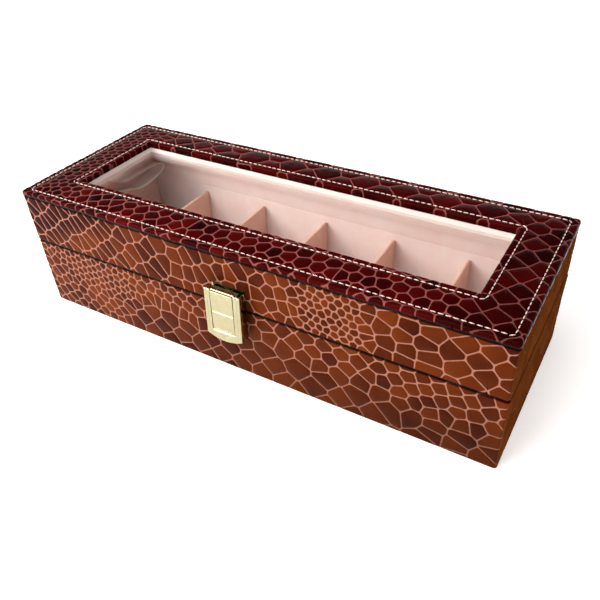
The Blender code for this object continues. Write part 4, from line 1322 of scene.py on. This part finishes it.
columns = [PANEL_HALF * (k / 24 - 1) for k in range(49)]
rows = [0, 0.003, 0.008, 0.014] + [0.022 + 0.956 * k / 150 for k in range(151)] + [0.986, 0.992, 0.997, 1]
bm, outline = pressed_plate(columns, rows, lambda x: panel_low.z, panel_high.z, panel_depth)
back = [bm.verts.new((v.co.x, lever_face(v.co.z) + 0.5 * MM, v.co.z)) for v in outline]
join_rings(bm, outline, back)
bm.faces.new(back)
bmesh.ops.recalc_face_normals(bm, faces=bm.faces)
face_plate = add_mesh("latch_face_plate", bm, champagne)
for piece in (lever, tab, face_plate):
    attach(piece, "latch_lever")
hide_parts("latch_lever")
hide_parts("latch_face_panel")


# ---------------------------------------------------------------------------
# Hinges. Two small butt hinges of stamped steel, brass-plated and a little
# dull, screwed to the back board with eight dome-headed cross-slot screws.
# ---------------------------------------------------------------------------
brass = plated_metal("brass_plated_steel", "#C9A865", "#9E7E42", 0.28)
hinge_ends = ("left", "right")
hinge_parts = [f"hinge_{end}_{part}" for end in hinge_ends for part in ("base_leaf", "lid_leaf", "pin")]
refinish(brass, "hinge_metal", *hinge_parts)

bm = bmesh.new()
RINGS, TURNS, HEAD_R, HEAD_RISE = 9, 24, 1.8 * MM, 0.7 * MM
SLOT_DEEP = 0.32 * MM
rings = []
for k in range(1, RINGS + 1):
    radius = HEAD_R * k / RINGS
    ring = []
    for i in range(TURNS):
        angle = math.tau * i / TURNS
        x, z = radius * math.cos(angle), radius * math.sin(angle)
        rise = HEAD_RISE * math.sqrt(max(1 - 0.9 * (radius / HEAD_R) ** 2, 0))
        slot = 0
        for across, lengthwise in ((abs(x), abs(z)), (abs(z), abs(x))):
            cut = smooth_step(0.34 * MM, 0.22 * MM, across) * smooth_step(1.3 * MM, 1.1 * MM, lengthwise)
            slot = max(slot, cut)
        ring.append(bm.verts.new((x, rise - SLOT_DEEP * slot, z)))
    rings.append(ring)
seat = [bm.verts.new((v.co.x, 0, v.co.z)) for v in rings[-1]]
rings.append(seat)
hub = bm.verts.new((0, HEAD_RISE - SLOT_DEEP, 0))
for i in range(TURNS):
    j = (i + 1) % TURNS
    bm.faces.new((hub, rings[0][i], rings[0][j]))
    for one, two in zip(rings, rings[1:]):
        bm.faces.new((one[i], two[i], two[j], one[j]))
bm.faces.new(seat)
bmesh.ops.recalc_face_normals(bm, faces=bm.faces)
screw_form = add_mesh("screw_form", bm)

driving = bpy.data.node_groups.new("driven_screws", "GeometryNodeTree")
driving.interface.new_socket("Places", in_out="INPUT", socket_type="NodeSocketGeometry")
driving.interface.new_socket("Head", in_out="INPUT", socket_type="NodeSocketObject")
driving.interface.new_socket("Turn", in_out="INPUT", socket_type="NodeSocketFloat").default_value = 1.1
driving.interface.new_socket("Screws", in_out="OUTPUT", socket_type="NodeSocketGeometry")
given = add_node(driving, "NodeGroupInput")
head = add_node(driving, "GeometryNodeObjectInfo", {"Object": given.outputs["Head"]})
# Each screw stopped at its own angle.
angle = add_node(driving, "FunctionNodeRandomValue", {3: given.outputs["Turn"], "Seed": 4}, data_type="FLOAT")
twist = add_node(driving, "ShaderNodeCombineXYZ", {1: angle.outputs[1]})
placed = add_node(
    driving, "GeometryNodeInstanceOnPoints",
    {"Points": given.outputs["Places"], "Instance": head.outputs["Geometry"], "Rotation": twist},
)
real = add_node(driving, "GeometryNodeRealizeInstances", {0: placed})
soft = add_node(driving, "GeometryNodeSetShadeSmooth", {"Geometry": real})
dressed = add_node(driving, "GeometryNodeSetMaterial", {"Geometry": soft, "Material": brass})
add_node(driving, "NodeGroupOutput", {0: dressed})

for owner in ("base", "lid"):
    names = [f"hinge_{end}_{owner}_screw_{n}" for end in hinge_ends for n in (1, 2)]
    bm = bmesh.new()
    for name in names:
        low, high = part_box(name)
        bm.verts.new(((low.x + high.x) / 2, high.y - HEAD_RISE, (low.z + high.z) / 2))
    screws = grow(f"{owner}_hinge_screws", add_mesh("places", bm), driving, Head=screw_form)
    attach(screws, owner)
    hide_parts(*names)
bpy.data.objects.remove(screw_form)
